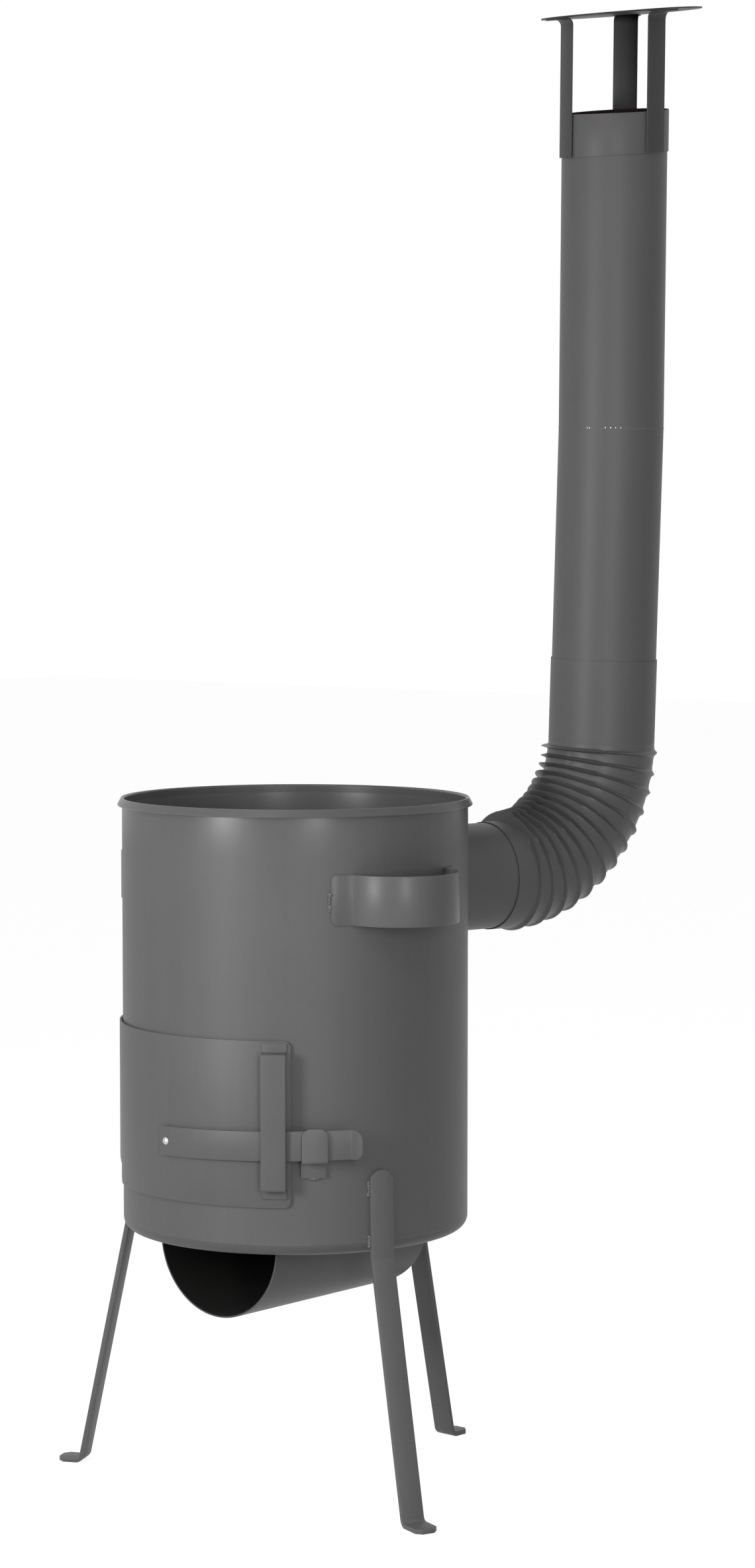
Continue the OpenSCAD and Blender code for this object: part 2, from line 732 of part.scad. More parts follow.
module latch_washer() {
    color(zinc) at_azimuth(rivet_az) translate([0, -door_out_r - seat_gap, rivet_z]) rotate([90, 0, 0])
        annulus(washer_d / 2, rivet_d / 2 + rivet_play, washer_t);
}

module latch_catch() {
    tab_at = drum_r + seat_gap + catch_t / 2;
    front_at = catch_bar_r + latch_t / 2 + catch_play + catch_t / 2;
    top_z = rivet_z + catch_bar_r * sin(catch_from_rivet) * sin(latch_slope) + catch_over;
    color(paint) difference() {
        in_radial_plane(catch_az) strip(rounded([
            [tab_at, catch_seat_z - catch_tab], [tab_at, catch_seat_z], [front_at, catch_seat_z], [front_at, top_z]
        ], 0.8 * catch_t), catch_t, catch_w);
        at_azimuth(catch_az) translate([0, -front_at, top_z]) rotate([90, 0, 0])
            for (side = [0, 1]) mirror([side, 0, 0])
                translate([catch_w / 2, 0, 0]) corner_waste(catch_r, 4 * catch_t);
    }
}

// A small ball whose poles lie away from the level, upright and tangent planes that cut it
module blob(r) {
    rotate([35, 35, 0]) sphere(r = r, $fn = 20);
}

// A blob of weld in the corner between the wall and a piece whose side is x from its middle
module bead(az, x, z) {
    at_azimuth(az) difference() {
        translate([x, -drum_r, z]) blob(bead_r);
        translate([0, 0, z - 2 * bead_r]) cylinder(r = drum_r + seat_gap / 2, h = 4 * bead_r, $fn = 360);
        translate([x > 0 ? x - 4 * bead_r : x, -drum_r - 4 * bead_r, z - 2 * bead_r])
            cube([4 * bead_r, 8 * bead_r, 4 * bead_r]);
    }
}

module leg_beads(az, sway = 0) {
    low_z = stand_h + bead_up;
    high_z = leg_top_z - bead_down;
    for (side = [-1, 1], z = [low_z, low_z + bead_pitch, high_z - bead_pitch, high_z])
        bead(az, side * (leg_w / 2 + seat_gap) + (leg_top_z - z) * tan(sway), z);
}

module weld_beads() {
    tab_edge = loop_half_angle() + degrees(tab_len / drum_r);
    color(paint_dark) {
        leg_beads(leg_right_az, leg_right_sway);
        leg_beads(leg_left_az);
        leg_beads(leg_rear_az);
        for (az = [handle_right_az, handle_left_az], side = [-1, 1], up = [-handle_bead_up, handle_bead_up])
            bead(az + side * tab_edge, side * seat_gap, handle_z + up);
        catch_foot_bead();
    }
}

module catch_foot_bead() {
    foot_z = catch_seat_z - catch_tab - seat_gap;
    at_azimuth(catch_az) difference() {
        translate([foot_bead_off, -drum_r, foot_z]) blob(foot_bead_r);
        translate([0, 0, foot_z - catch_tab]) cylinder(r = drum_r + seat_gap / 2, h = 2 * catch_tab, $fn = 360);
        translate([-catch_w, -drum_r - catch_w, foot_z]) cube([2 * catch_w, 2 * catch_w, catch_tab]);
    }
}

module flue_stub() {
    color(paint) difference() {
        at_azimuth(flue_az) translate([0, 0, stub_z]) rotate([90, 0, 0])
            annulus(pipe_r, pipe_r - stub_sheet, bend_start - seat_gap);
        translate([0, 0, stub_z - flue_d]) cylinder(r = drum_r + seat_gap, h = 2 * flue_d);
    }
}

module stub_weld() {
    color(paint_dark) difference() {
        at_azimuth(flue_az) translate([0, 0, stub_z]) rotate([90, 0, 0])
            annulus(pipe_r + stub_weld_w, pipe_r + seat_gap, drum_r + stub_weld_w);
        translate([0, 0, stub_z - flue_d]) cylinder(r = drum_r + seat_gap, h = 2 * flue_d);
        translate([0, 0, stub_z - flue_d]) annulus(2 * drum_r, drum_r + stub_weld_w, 2 * flue_d);
    }
}

// The flue's frame: the stub's axis runs along -Y at height 0 and the pipe stands along +Z
module flue_frame() {
    at_azimuth(flue_az) translate([0, 0, stub_z]) rotate([0, -elbow_swing, 0]) children();
}

module pipe_frame() {
    flue_frame() translate([0, -bend_start - bend_r, 0]) children();
}

// The upper can's frame, whose origin is where the axes of the two cans meet
module upper_frame() {
    pipe_frame() translate([0, 0, bend_r + lower_can])
        at_azimuth(can_kink_az) rotate([can_kink, 0, 0]) at_azimuth(-can_kink_az) children();
}

module elbow_inlet_collar() {
    color(paint) flue_frame() translate([0, -bend_start + inlet_len, 0]) rotate([90, 0, 0])
        annulus(elbow_out_r, elbow_in_r, inlet_len);
}

module elbow_outlet_collar() {
    color(paint) pipe_frame() translate([0, 0, bend_r]) annulus(elbow_out_r, elbow_in_r, outlet_len);
}

// Point of the elbow at an angle along the bend, with radius r, turned phi from the inside of the bend
function bend_point(angle, r, phi) =
    [r * sin(phi), -bend_start - (bend_r - r * cos(phi)) * sin(angle), bend_r - (bend_r - r * cos(phi)) * cos(angle)];

function pleat_height(phi) = pleat_outer_h + (pleat_inner_h - pleat_outer_h) * pow((1 + cos(phi)) / 2, 1.5);

module elbow_pleated_bend() {
    sides = 36;
    phis = [for (k = [0:sides - 1]) 360 * k / sides];
    half_foot = degrees(pleat_foot / 2 / bend_r);
    half_crest = degrees(pleat_crest / 2 / bend_r);
    // Each ring of the outer skin is an angle along the bend and the share of the pleat's height there
    outer = concat(
        [[0, 0]],
        [for (i = [0:pleats - 1]) let (a = 90 * (i + 0.5) / pleats)
            each [[a - half_foot, 0], [a - half_crest, 1], [a + half_crest, 1], [a + half_foot, 0]]],
        [[90, 0]]
    );
    inner_steps = 14;
    rings = concat(
        [for (ring = outer) [for (phi = phis) bend_point(ring[0], elbow_out_r + ring[1] * pleat_height(phi), phi)]],
        [for (k = [inner_steps:-1:0]) [for (phi = phis) bend_point(90 * k / inner_steps, pipe_r - bend_step, phi)]]
    );
    color(paint_dark) flue_frame() skin(rings, true);
}

// The lower can, its upper end cut to the upper can's lower end
module flue_pipe_lower() {
    color(paint) difference() {
        pipe_frame() translate([0, 0, bend_r + seat_gap])
            annulus(pipe_r, pipe_r - pipe_sheet, lower_can - seat_gap + pipe_r * tan(can_kink) + eps);
        upper_frame() cylinder(r = 2 * pipe_r, h = pipe_r);
    }
}

module flue_pipe_upper() {
    color(paint) upper_frame() annulus(pipe_r, pipe_r - pipe_sheet, upper_can);
}

module pipe_weld() {
    color(paint_dark) upper_frame() rotate_extrude() difference() {
        translate([pipe_r, 0]) scale(can_weld_w / 2) circle(1);
        translate([0, -can_weld_w]) square([pipe_r + seat_gap / 2, 2 * can_weld_w]);
        translate([pipe_r + can_weld_h, -can_weld_w]) square(2 * can_weld_w);
    }
}

module cap_collar() {
    reach = collar_out_r * tan(collar_tilt) + eps;
    color(paint) upper_frame() translate([0, 0, cap_base]) intersection() {
        translate([0, 0, -reach]) annulus(collar_out_r, pipe_r + slip_gap, collar_h + 2 * reach);
        at_azimuth(collar_tilt_az) rotate([collar_tilt, 0, 0])
            cylinder(r = 2 * collar_out_r, h = collar_h * cos(collar_tilt));
    }
}

// A strap that stands against the collar and bends out under the tilted disc, turning flat against it
module cap_strap(az) {
    radial = [sin(az), -cos(az), 0];
    across = [cos(az), sin(az), 0];
    up = [0, 0, 1];
    disc_up = [0, sin(disc_tilt), cos(disc_tilt)];
    tab_out = unit(radial - (radial * disc_up) * disc_up);
    tab_across = cross(disc_up, tab_out);
    bend_z = disc_low - strap_bend
        - (strap_r * (radial * disc_up) + strap_t / 2 + seat_gap) / cos(disc_tilt);
    foot = strap_r * radial;
    bend_steps = 8;
    // The foot's edge follows the collar's askew lower end
    foot_z = cap_base - strap_r * cos(az - collar_tilt_az) * tan(collar_tilt);
    foot_slope = sin(az - collar_tilt_az) * tan(collar_tilt);
    // Each section holds its middle, its way along the strap and its way across it
    sections = concat(
        [[foot + up * foot_z, up, across + up * foot_slope]],
        [for (k = [0:bend_steps]) let (s = k / bend_steps, a = 90 * s)
            [foot + up * (bend_z + strap_bend * sin(a)) + tab_out * strap_bend * (1 - cos(a)),
             unit(up * cos(a) + tab_out * sin(a)), unit(across * (1 - s) + tab_across * s)]],
        [[foot + up * (bend_z + strap_bend) + tab_out * (strap_bend + strap_tab), tab_out, tab_across]]
    );
    rings = [
        for (s = sections)
            let (through = unit(cross(s[1], s[2])) * strap_t / 2, side = s[2] * strap_w / 2)
                [s[0] - side - through, s[0] - side + through, s[0] + side + through, s[0] + side - through]
    ];
    color(paint_dark) upper_frame() skin(rings, false);
}

module cap_strap_rear() {
    cap_strap(strap_rear_az);
}

module cap_strap_front() {
    cap_strap(strap_front_az);
}

module cap_strap_right() {
    cap_strap(strap_right_az);
}

module cap_disc() {
    color(paint_dark) upper_frame() translate([0, 0, disc_low]) rotate([-disc_tilt, 0, 0])
        at_azimuth(disc_shift_az) translate([0, -disc_shift, 0]) cylinder(r = disc_d / 2, h = disc_t);
}

drum_wall();
drum_bottom();
ash_trough();
trough_back_plate();
fire_grate();
leg_front_right();
leg_front_left();
leg_rear();
side_handle_right();
side_handle_left();
wall_hinge_eyes();
hinge_pins();
latch_catch();
weld_beads();
flue_stub();
stub_weld();
door_plate();
door_handle();
door_hinge_eyes();
latch_rivet();
latch_washer();
latch_bar();
elbow_inlet_collar();
elbow_pleated_bend();
elbow_outlet_collar();
flue_pipe_lower();
flue_pipe_upper();
pipe_weld();
cap_collar();
cap_strap_front();
cap_strap_right();
cap_strap_rear();
cap_disc();
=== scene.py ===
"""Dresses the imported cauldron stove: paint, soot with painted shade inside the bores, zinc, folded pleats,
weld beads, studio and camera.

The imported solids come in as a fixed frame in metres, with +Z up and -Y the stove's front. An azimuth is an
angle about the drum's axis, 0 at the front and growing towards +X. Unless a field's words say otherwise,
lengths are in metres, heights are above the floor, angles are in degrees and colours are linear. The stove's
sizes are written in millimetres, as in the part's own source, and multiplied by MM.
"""

import logging
import math
import random
from collections.abc import Callable
from dataclasses import dataclass, field
from enum import Enum
from typing import ClassVar

import bmesh
import bpy
from mathutils import Matrix, Vector


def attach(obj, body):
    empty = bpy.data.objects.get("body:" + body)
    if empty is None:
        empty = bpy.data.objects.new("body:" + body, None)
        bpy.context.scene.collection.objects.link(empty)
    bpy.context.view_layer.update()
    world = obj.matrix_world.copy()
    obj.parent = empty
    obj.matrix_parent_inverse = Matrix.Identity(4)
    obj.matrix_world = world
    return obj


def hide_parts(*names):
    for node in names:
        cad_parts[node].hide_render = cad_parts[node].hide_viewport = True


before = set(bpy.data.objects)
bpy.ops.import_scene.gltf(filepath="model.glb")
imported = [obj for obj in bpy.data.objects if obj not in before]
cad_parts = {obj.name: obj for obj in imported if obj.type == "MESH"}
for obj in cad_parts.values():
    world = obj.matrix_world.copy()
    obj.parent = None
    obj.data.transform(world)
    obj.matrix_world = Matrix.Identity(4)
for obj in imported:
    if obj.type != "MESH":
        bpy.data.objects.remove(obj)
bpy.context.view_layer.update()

LOG = logging.getLogger("stove")
MM = 0.001
Colour = tuple[float, float, float]
WHITE: Colour = (1.0, 1.0, 1.0)


class Body(str, Enum):
    """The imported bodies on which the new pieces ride."""

    STOVE = "stove"
    DOOR = "door"
    LATCH = "latch"
    ELBOW = "elbow"
    PIPE = "pipe"
    CAP = "cap"


class Slot(str, Enum):
    """The record's material slots, passed along with the new pieces."""

    PAINT = "heat_paint"
    WELD = "painted_weld"
    ZINC = "zinc"


def rgba(colour: Colour) -> tuple[float, float, float, float]:
    """Adds full alpha to a linear colour."""
    return (*colour, 1.0)


def at_azimuth(azimuth: float) -> Matrix:
    """Turns what is modelled at the front to an azimuth in degrees."""
    return Matrix.Rotation(math.radians(azimuth), 4, "Z")


def on_circle(radius: float, azimuth: float, height: float) -> Vector:
    """Finds a point about the Z axis.

    Args:
        radius: Distance from the axis, in metres.
        azimuth: Angle from the front, in degrees.
        height: Height above the floor, in metres.

    Returns:
        The point in the stove's frame.
    """
    return at_azimuth(azimuth) @ Vector((0.0, -radius, height))


def linked(name: str, data: bpy.types.ID) -> bpy.types.Object:
    """Makes an object from its data and links it to the scene.

    Args:
        name: The object's name.
        data: Its mesh, camera or light.

    Returns:
        The object.
    """
    made = bpy.data.objects.new(name, data)
    bpy.context.scene.collection.objects.link(made)
    return made


# Node trees


def operator(operation: str, swapped: bool = False) -> Callable[..., "Wire"]:
    """Makes one of a wire's operators.

    Args:
        operation: The Math node's operation.
        swapped: Whether the wire is the second value.

    Returns:
        The method, which adds the Math node.
    """
    def operate(wire: "Wire", other: "Wire | float" = 0.0) -> "Wire":
        """Adds the Math node for the wire and the other value."""
        return wire.sheet.maths(operation, *((other, wire) if swapped else (wire, other)))

    return operate


@dataclass(frozen=True)
class Wire:
    """A node's output that can be written in sums, each of which adds its Math node."""

    sheet: "NodeSheet"
    socket: bpy.types.NodeSocket

    def also(self, name: str) -> "Wire":
        """Another output of the same node."""
        return Wire(self.sheet, self.socket.node.outputs[name])

    __add__ = __radd__ = operator("ADD")
    __sub__ = operator("SUBTRACT")
    __rsub__ = operator("SUBTRACT", swapped=True)
    __mul__ = operator("MULTIPLY")
    __truediv__ = operator("DIVIDE")
    __rtruediv__ = operator("DIVIDE", swapped=True)
    __pow__ = operator("POWER")
    __abs__ = operator("ABSOLUTE")
    __gt__ = operator("GREATER_THAN")
    __lt__ = operator("LESS_THAN")

    def at_least(self, floor: float) -> "Wire":
        """self, but never below floor."""
        return self.sheet.maths("MAXIMUM", self, floor)

    def at_most(self, ceiling: float) -> "Wire":
        """self, but never above ceiling."""
        return self.sheet.maths("MINIMUM", self, ceiling)


@dataclass(frozen=True)
class NodeSheet:
    """A node tree that is drawn in code."""

    tree: bpy.types.NodeTree

    def add(self, kind: str, sockets: dict | None = None, out: int | str = 0,
            **settings: str | int) -> Wire:
        """Adds a node.

        Args:
            kind: The node's type.
            sockets: Values or wires for its inputs, by name or number.
            out: The output to return.
            settings: The node's own settings, set before its sockets.

        Returns:
            A wire from that output, or from the first input of a node that ends a tree.
        """
        node = self.tree.nodes.new(kind)
        for name, value in settings.items():
            setattr(node, name, value)
        for key, value in (sockets or {}).items():
            if isinstance(value, Wire):
                self.tree.links.new(value.socket, node.inputs[key])
            else:
                node.inputs[key].default_value = value
        return Wire(self, node.outputs[out] if node.outputs else node.inputs[0])

    def maths(self, operation: str, first: Wire | float, second: Wire | float = 0.0) -> Wire:
        """Adds a Math node on one or two values."""
        return self.add("ShaderNodeMath", {0: first, 1: second}, operation=operation)

    def vector_maths(self, operation: str, first: Wire | tuple, second: Wire | tuple = (0.0, 0.0, 0.0),
                     out: int | str = 0) -> Wire:
        """Adds a Vector Math node on two vectors."""
        return self.add("ShaderNodeVectorMath", {0: first, 1: second}, out, operation=operation)

    def scaled(self, vector: Wire | tuple, factor: Wire | float) -> Wire:
        """A vector or colour times a number."""
        return self.add("ShaderNodeVectorMath", {0: vector, "Scale": factor}, operation="SCALE")

    def step(self, value: Wire, low: float, high: float) -> Wire:
        """A smooth step from 0 at low to 1 at high."""
        return self.add(
            "ShaderNodeMapRange", {"Value": value, "From Min": low, "From Max": high},
            interpolation_type="SMOOTHSTEP",
        )

    def mixed(self, factor: Wire | float, first: Wire | Colour, second: Wire | Colour) -> Wire:
        """A colour between two colours.

        Args:
            factor: 0 for the first colour, 1 for the second.
            first: The first colour.
            second: The second colour.

        Returns:
            The mixed colour.
        """
        ends = {6: first if isinstance(first, Wire) else rgba(first),
                7: second if isinstance(second, Wire) else rgba(second)}
        return self.add("ShaderNodeMix", {0: factor, **ends}, out=2, data_type="RGBA")

    def noise(self, where: Wire, scale: float, detail: float = 2.0, rough: float = 0.5) -> Wire:
        """Noise about 0, mostly between -0.5 and 0.5."""
        return self.add(
            "ShaderNodeTexNoise", {"Vector": where, "Scale": scale, "Detail": detail, "Roughness": rough}
        ) - 0.5

    def apart(self, vector: Wire) -> tuple[Wire, Wire, Wire]:
        """A vector's X, Y and Z."""
        x = self.add("ShaderNodeSeparateXYZ", {0: vector})
        return x, x.also("Y"), x.also("Z")

    def joined(self, x: Wire, y: Wire, z: Wire) -> Wire:
        """A vector of X, Y and Z."""
        return self.add("ShaderNodeCombineXYZ", {0: x, 1: y, 2: z})

    def where(self) -> Wire:
        """The shaded point in object coordinates, which are the stove's frame."""
        return self.add("ShaderNodeTexCoord", out="Object")

    def metal(self, colour: Wire, roughness: Wire, height: Wire, others: dict) -> Wire:
        """Adds the surface shader of painted or bare metal.

        Args:
            colour: Base colour.
            roughness: Roughness.
            height: Height of the relief, in metres.
            others: Values or wires for the shader's other inputs, by name.

        Returns:
            The shader.
        """
        relief = self.add("ShaderNodeBump", {"Distance": 1.0, "Height": height})
        return self.add("ShaderNodeBsdfPrincipled", {
            "Base Color": colour, "Roughness": roughness, "Normal": relief, **others,
        })


@dataclass(frozen=True)
class Axis:
    """A line that a round wall is about, through a point and along a unit direction."""

    point: Vector
    direction: Vector

    def distance(self, sheet: NodeSheet, where: Wire) -> Wire:
        """Works out a shaded point's distance from the line.

        Args:
            sheet: The material's tree.
            where: The shaded point.

        Returns:
            The distance, in metres.
        """
        along = tuple(self.direction)
        offset = sheet.vector_maths("SUBTRACT", where, tuple(self.point))
        reach = sheet.vector_maths("DOT_PRODUCT", offset, along, out="Value")
        aside = sheet.vector_maths("SUBTRACT", offset, sheet.scaled(along, reach))
        return sheet.vector_maths("LENGTH", aside, out="Value")


# Finishes


@dataclass(frozen=True)
class Finish:
    """What all finishes share: a name and a material made once."""

    name: str

    def material(self) -> bpy.types.Material:
        """Returns the finish's material, made on first use."""
        made = bpy.data.materials.get(self.name)
        return made if made is not None else self._make()

    def _make(self) -> bpy.types.Material:
        """Draws the material's nodes.

        Returns:
            The new material.
        """
        material = bpy.data.materials.new(self.name)
        material.use_nodes = True
        material.node_tree.nodes.clear()
        sheet = NodeSheet(material.node_tree)
        surface = self._surface(sheet)
        sheet.add("ShaderNodeOutputMaterial", {"Surface": surface})
        return material

    def _surface(self, sheet: NodeSheet) -> Wire:
        """Draws the surface shader; each finish has its own."""
        raise NotImplementedError


@dataclass(frozen=True)
class HeatPaint(Finish):
    """Satin heat-proof paint on rolled sheet, with orange peel, rolling streaks and thin edges that are
    painted lighter, partly as wear and partly as a painted highlight.

    Attributes:
        patch: Share by which broad patches are lighter or darker.
        streak: The same for the streaks along Z.
        grain: The same for fine grain.
        peel: Height of the orange peel.
        dent: Height of the sheet's broad waves.
        edge_wear_and_highlight: How far an edge goes towards the bare metal's colour, as thin paint and as a
            painted highlight.
        bore: Line about which the inside lies, if the piece has a dark inside, partly soot and partly painted
            shade.
        bore_radius: Radius below which the surface is inside.
        bore_blur: Half of the width over which that dark inside ends.
        neck_top: Height at which the sheet is drawn in under a rolled rim, or 0.
        neck_reach: Height of the drawn band.
        neck_depth: Depth of its relief.
        neck_polish: How much smoother it is at the rim.
    """

    PATCH_SCALE: ClassVar[float] = 9.0
    STREAK_SCALE: ClassVar[tuple[float, float, float]] = (70.0, 70.0, 2.5)
    GRAIN_SCALE: ClassVar[float] = 620.0
    PEEL_SCALE: ClassVar[float] = 300.0
    DENT_SCALE: ClassVar[float] = 14.0

    colour: Colour = (0.098, 0.098, 0.099)
    roughness: float = 0.48
    specular: float = 0.26
    patch: float = 0.10
    streak: float = 0.05
    grain: float = 0.10
    peel: float = 0.05 * MM
    dent: float = 0.25 * MM
    edge_wear_and_highlight: float = 0.35
    bare: Colour = (0.34, 0.34, 0.345)
    edge_width: float = 1.2 * MM
    bore: Axis | None = None
    bore_radius: float = 0.0
    # Near-black inside of a bore: soot and heat tint, and painted shade where the inside is unlit.
    bore_stain_and_shade: Colour = (0.012, 0.011, 0.010)
    bore_blur: float = 0.2 * MM
    neck_top: float = 0.0
    neck_reach: float = 40 * MM
    neck_depth: float = 1.4 * MM
    neck_polish: float = 0.16

    def _surface(self, sheet: NodeSheet) -> Wire:
        """Draws the paint.

        Args:
            sheet: The material's tree.

        Returns:
            The shader.
        """
        where = sheet.where()
        broad = sheet.noise(where, self.PATCH_SCALE, 4.0, 0.55)
        rolled = sheet.noise(sheet.vector_maths("MULTIPLY", where, self.STREAK_SCALE), 1.0, 2.0)
        fine = sheet.noise(where, self.GRAIN_SCALE, 3.0, 0.6)
        light = 1.0 + broad * (2 * self.patch) + rolled * (2 * self.streak) + fine * (2 * self.grain)
        # Edges go lighter towards bare metal: partly paint worn thin, partly a painted highlight along the
        # edges.
        edge = self._edge(sheet) * sheet.step(broad + fine, -0.25, 0.35)
        colour = sheet.mixed(edge * self.edge_wear_and_highlight, sheet.scaled(self.colour, light), self.bare)
        roughness = (self.roughness + broad * 0.12 + fine * 0.10 - edge * 0.08).at_least(0.2)
        # The inside of a bore is painted near-black: partly soot, partly painted shade.
        if self.bore is not None:
            reach = self.bore.distance(sheet, where)
            inside = 1.0 - sheet.step(
                reach, self.bore_radius - self.bore_blur, self.bore_radius + self.bore_blur
            )
            colour = sheet.mixed(inside, colour, sheet.scaled(self.bore_stain_and_shade, 1.0 + broad * 0.8))
            roughness = (roughness + inside * 0.4).at_most(0.95)
        orange_peel = sheet.noise(where, self.PEEL_SCALE, 1.0) + fine * 0.4
        height = orange_peel * self.peel + sheet.noise(where, self.DENT_SCALE, 1.0) * self.dent
        if self.neck_top:
            above_neck = sheet.apart(where)[2] - (self.neck_top - self.neck_reach)
            drawn = (above_neck / self.neck_reach).at_least(0.0).at_most(1.0)
            height = height - drawn ** 2.0 * self.neck_depth
            roughness = roughness - drawn * self.neck_polish
        return sheet.metal(colour, roughness, height, {"Specular IOR Level": self.specular})

    def _edge(self, sheet: NodeSheet) -> Wire:
        """Finds the sharp edges, where paint is thin and where the colour is also painted lighter as a
        highlight.

        Args:
            sheet: The material's tree.

        Returns:
            1 along an edge and 0 on open faces.
        """
        rounded = sheet.add("ShaderNodeBevel", {"Radius": self.edge_width}, samples=4)
        facing = sheet.add("ShaderNodeNewGeometry", out="Normal")
        bend = 1.0 - sheet.vector_maths("DOT_PRODUCT", rounded, facing, out="Value")
        return sheet.step(bend, 0.02, 0.22)


@dataclass(frozen=True)
class PaintedWeld(Finish):
    """Paint over a rough bead, with specks where the bead's metal shows.

    Attributes:
        bare: Share of the bead that shows bright metal, from 0 to 1, or below 0 for none.
    """

    LUMP_SCALE: ClassVar[float] = 420.0
    PIT_SCALE: ClassVar[float] = 1500.0
    SPECK_SCALE: ClassVar[float] = 260.0

    colour: Colour = (0.115, 0.115, 0.117)
    bare: float = 0.06
    metal: Colour = (0.55, 0.54, 0.53)

    def _surface(self, sheet: NodeSheet) -> Wire:
        """Draws the bead.

        Args:
            sheet: The material's tree.

        Returns:
            The shader.
        """
        where = sheet.where()
        lumps = sheet.noise(where, self.LUMP_SCALE, 3.0, 0.6)
        pits = sheet.noise(where, self.PIT_SCALE, 2.0)
        spots = sheet.noise(where, self.SPECK_SCALE, 2.0, 0.7)
        speck = sheet.step(spots, 0.30 - self.bare, 0.34 - self.bare)
        colour = sheet.mixed(speck, sheet.scaled(self.colour, 1.0 + lumps * 0.5), self.metal)
        roughness = 0.5 + lumps * 0.2 - speck * 0.15
        height = lumps * (0.25 * MM) + pits * (0.06 * MM)
        return sheet.metal(colour, roughness, height, {"Metallic": speck * 0.8})


@dataclass(frozen=True)
class ZincPlate(Finish):
    """Bare zinc plate with hammer facets and fine pits."""

    FACET_SCALE: ClassVar[float] = 520.0
    CLOUD_SCALE: ClassVar[float] = 240.0

    colour: Colour = (0.78, 0.78, 0.77)
    roughness: float = 0.26

    def _surface(self, sheet: NodeSheet) -> Wire:
        """Draws the plate.

        Args:
            sheet: The material's tree.

        Returns:
            The shader.
        """
        where = sheet.where()
        facets = sheet.add("ShaderNodeTexVoronoi", {"Vector": where, "Scale": self.FACET_SCALE}, feature="F1")
        cloud = sheet.noise(where, self.CLOUD_SCALE, 3.0, 0.6)
        colour = sheet.scaled(self.colour, 1.0 + cloud * 0.35)
        roughness = (self.roughness + cloud * 0.25).at_least(0.12)
        height = facets * (0.22 * MM) + cloud * (0.10 * MM)
        return sheet.metal(colour, roughness, height, {"Metallic": 1.0})


@dataclass(frozen=True)
class GrateSteel(Finish):
    """Hot-rolled bar with blue-grey mill scale and a little rust in patches."""

    PATCH_SCALE: ClassVar[float] = 38.0
    GRIT_SCALE: ClassVar[float] = 700.0

    scale: Colour = (0.060, 0.058, 0.060)
    rust: Colour = (0.16, 0.075, 0.040)

    def _surface(self, sheet: NodeSheet) -> Wire:
        """Draws the bar.

        Args:
            sheet: The material's tree.

        Returns:
            The shader.
        """
        where = sheet.where()
        patches = sheet.noise(where, self.PATCH_SCALE, 5.0, 0.65)
        grit = sheet.noise(where, self.GRIT_SCALE, 3.0, 0.6)
        rusty = sheet.step(patches + grit * 0.3, 0.08, 0.24)
        colour = sheet.mixed(rusty * 0.7, sheet.scaled(self.scale, 1.0 + grit * 0.6), self.rust)
        roughness = 0.52 + rusty * 0.3 + grit * 0.1
        height = grit * (0.12 * MM) + patches * (0.15 * MM)
        return sheet.metal(colour, roughness, height, {"Metallic": 0.55 - rusty * 0.5})


# Meshes


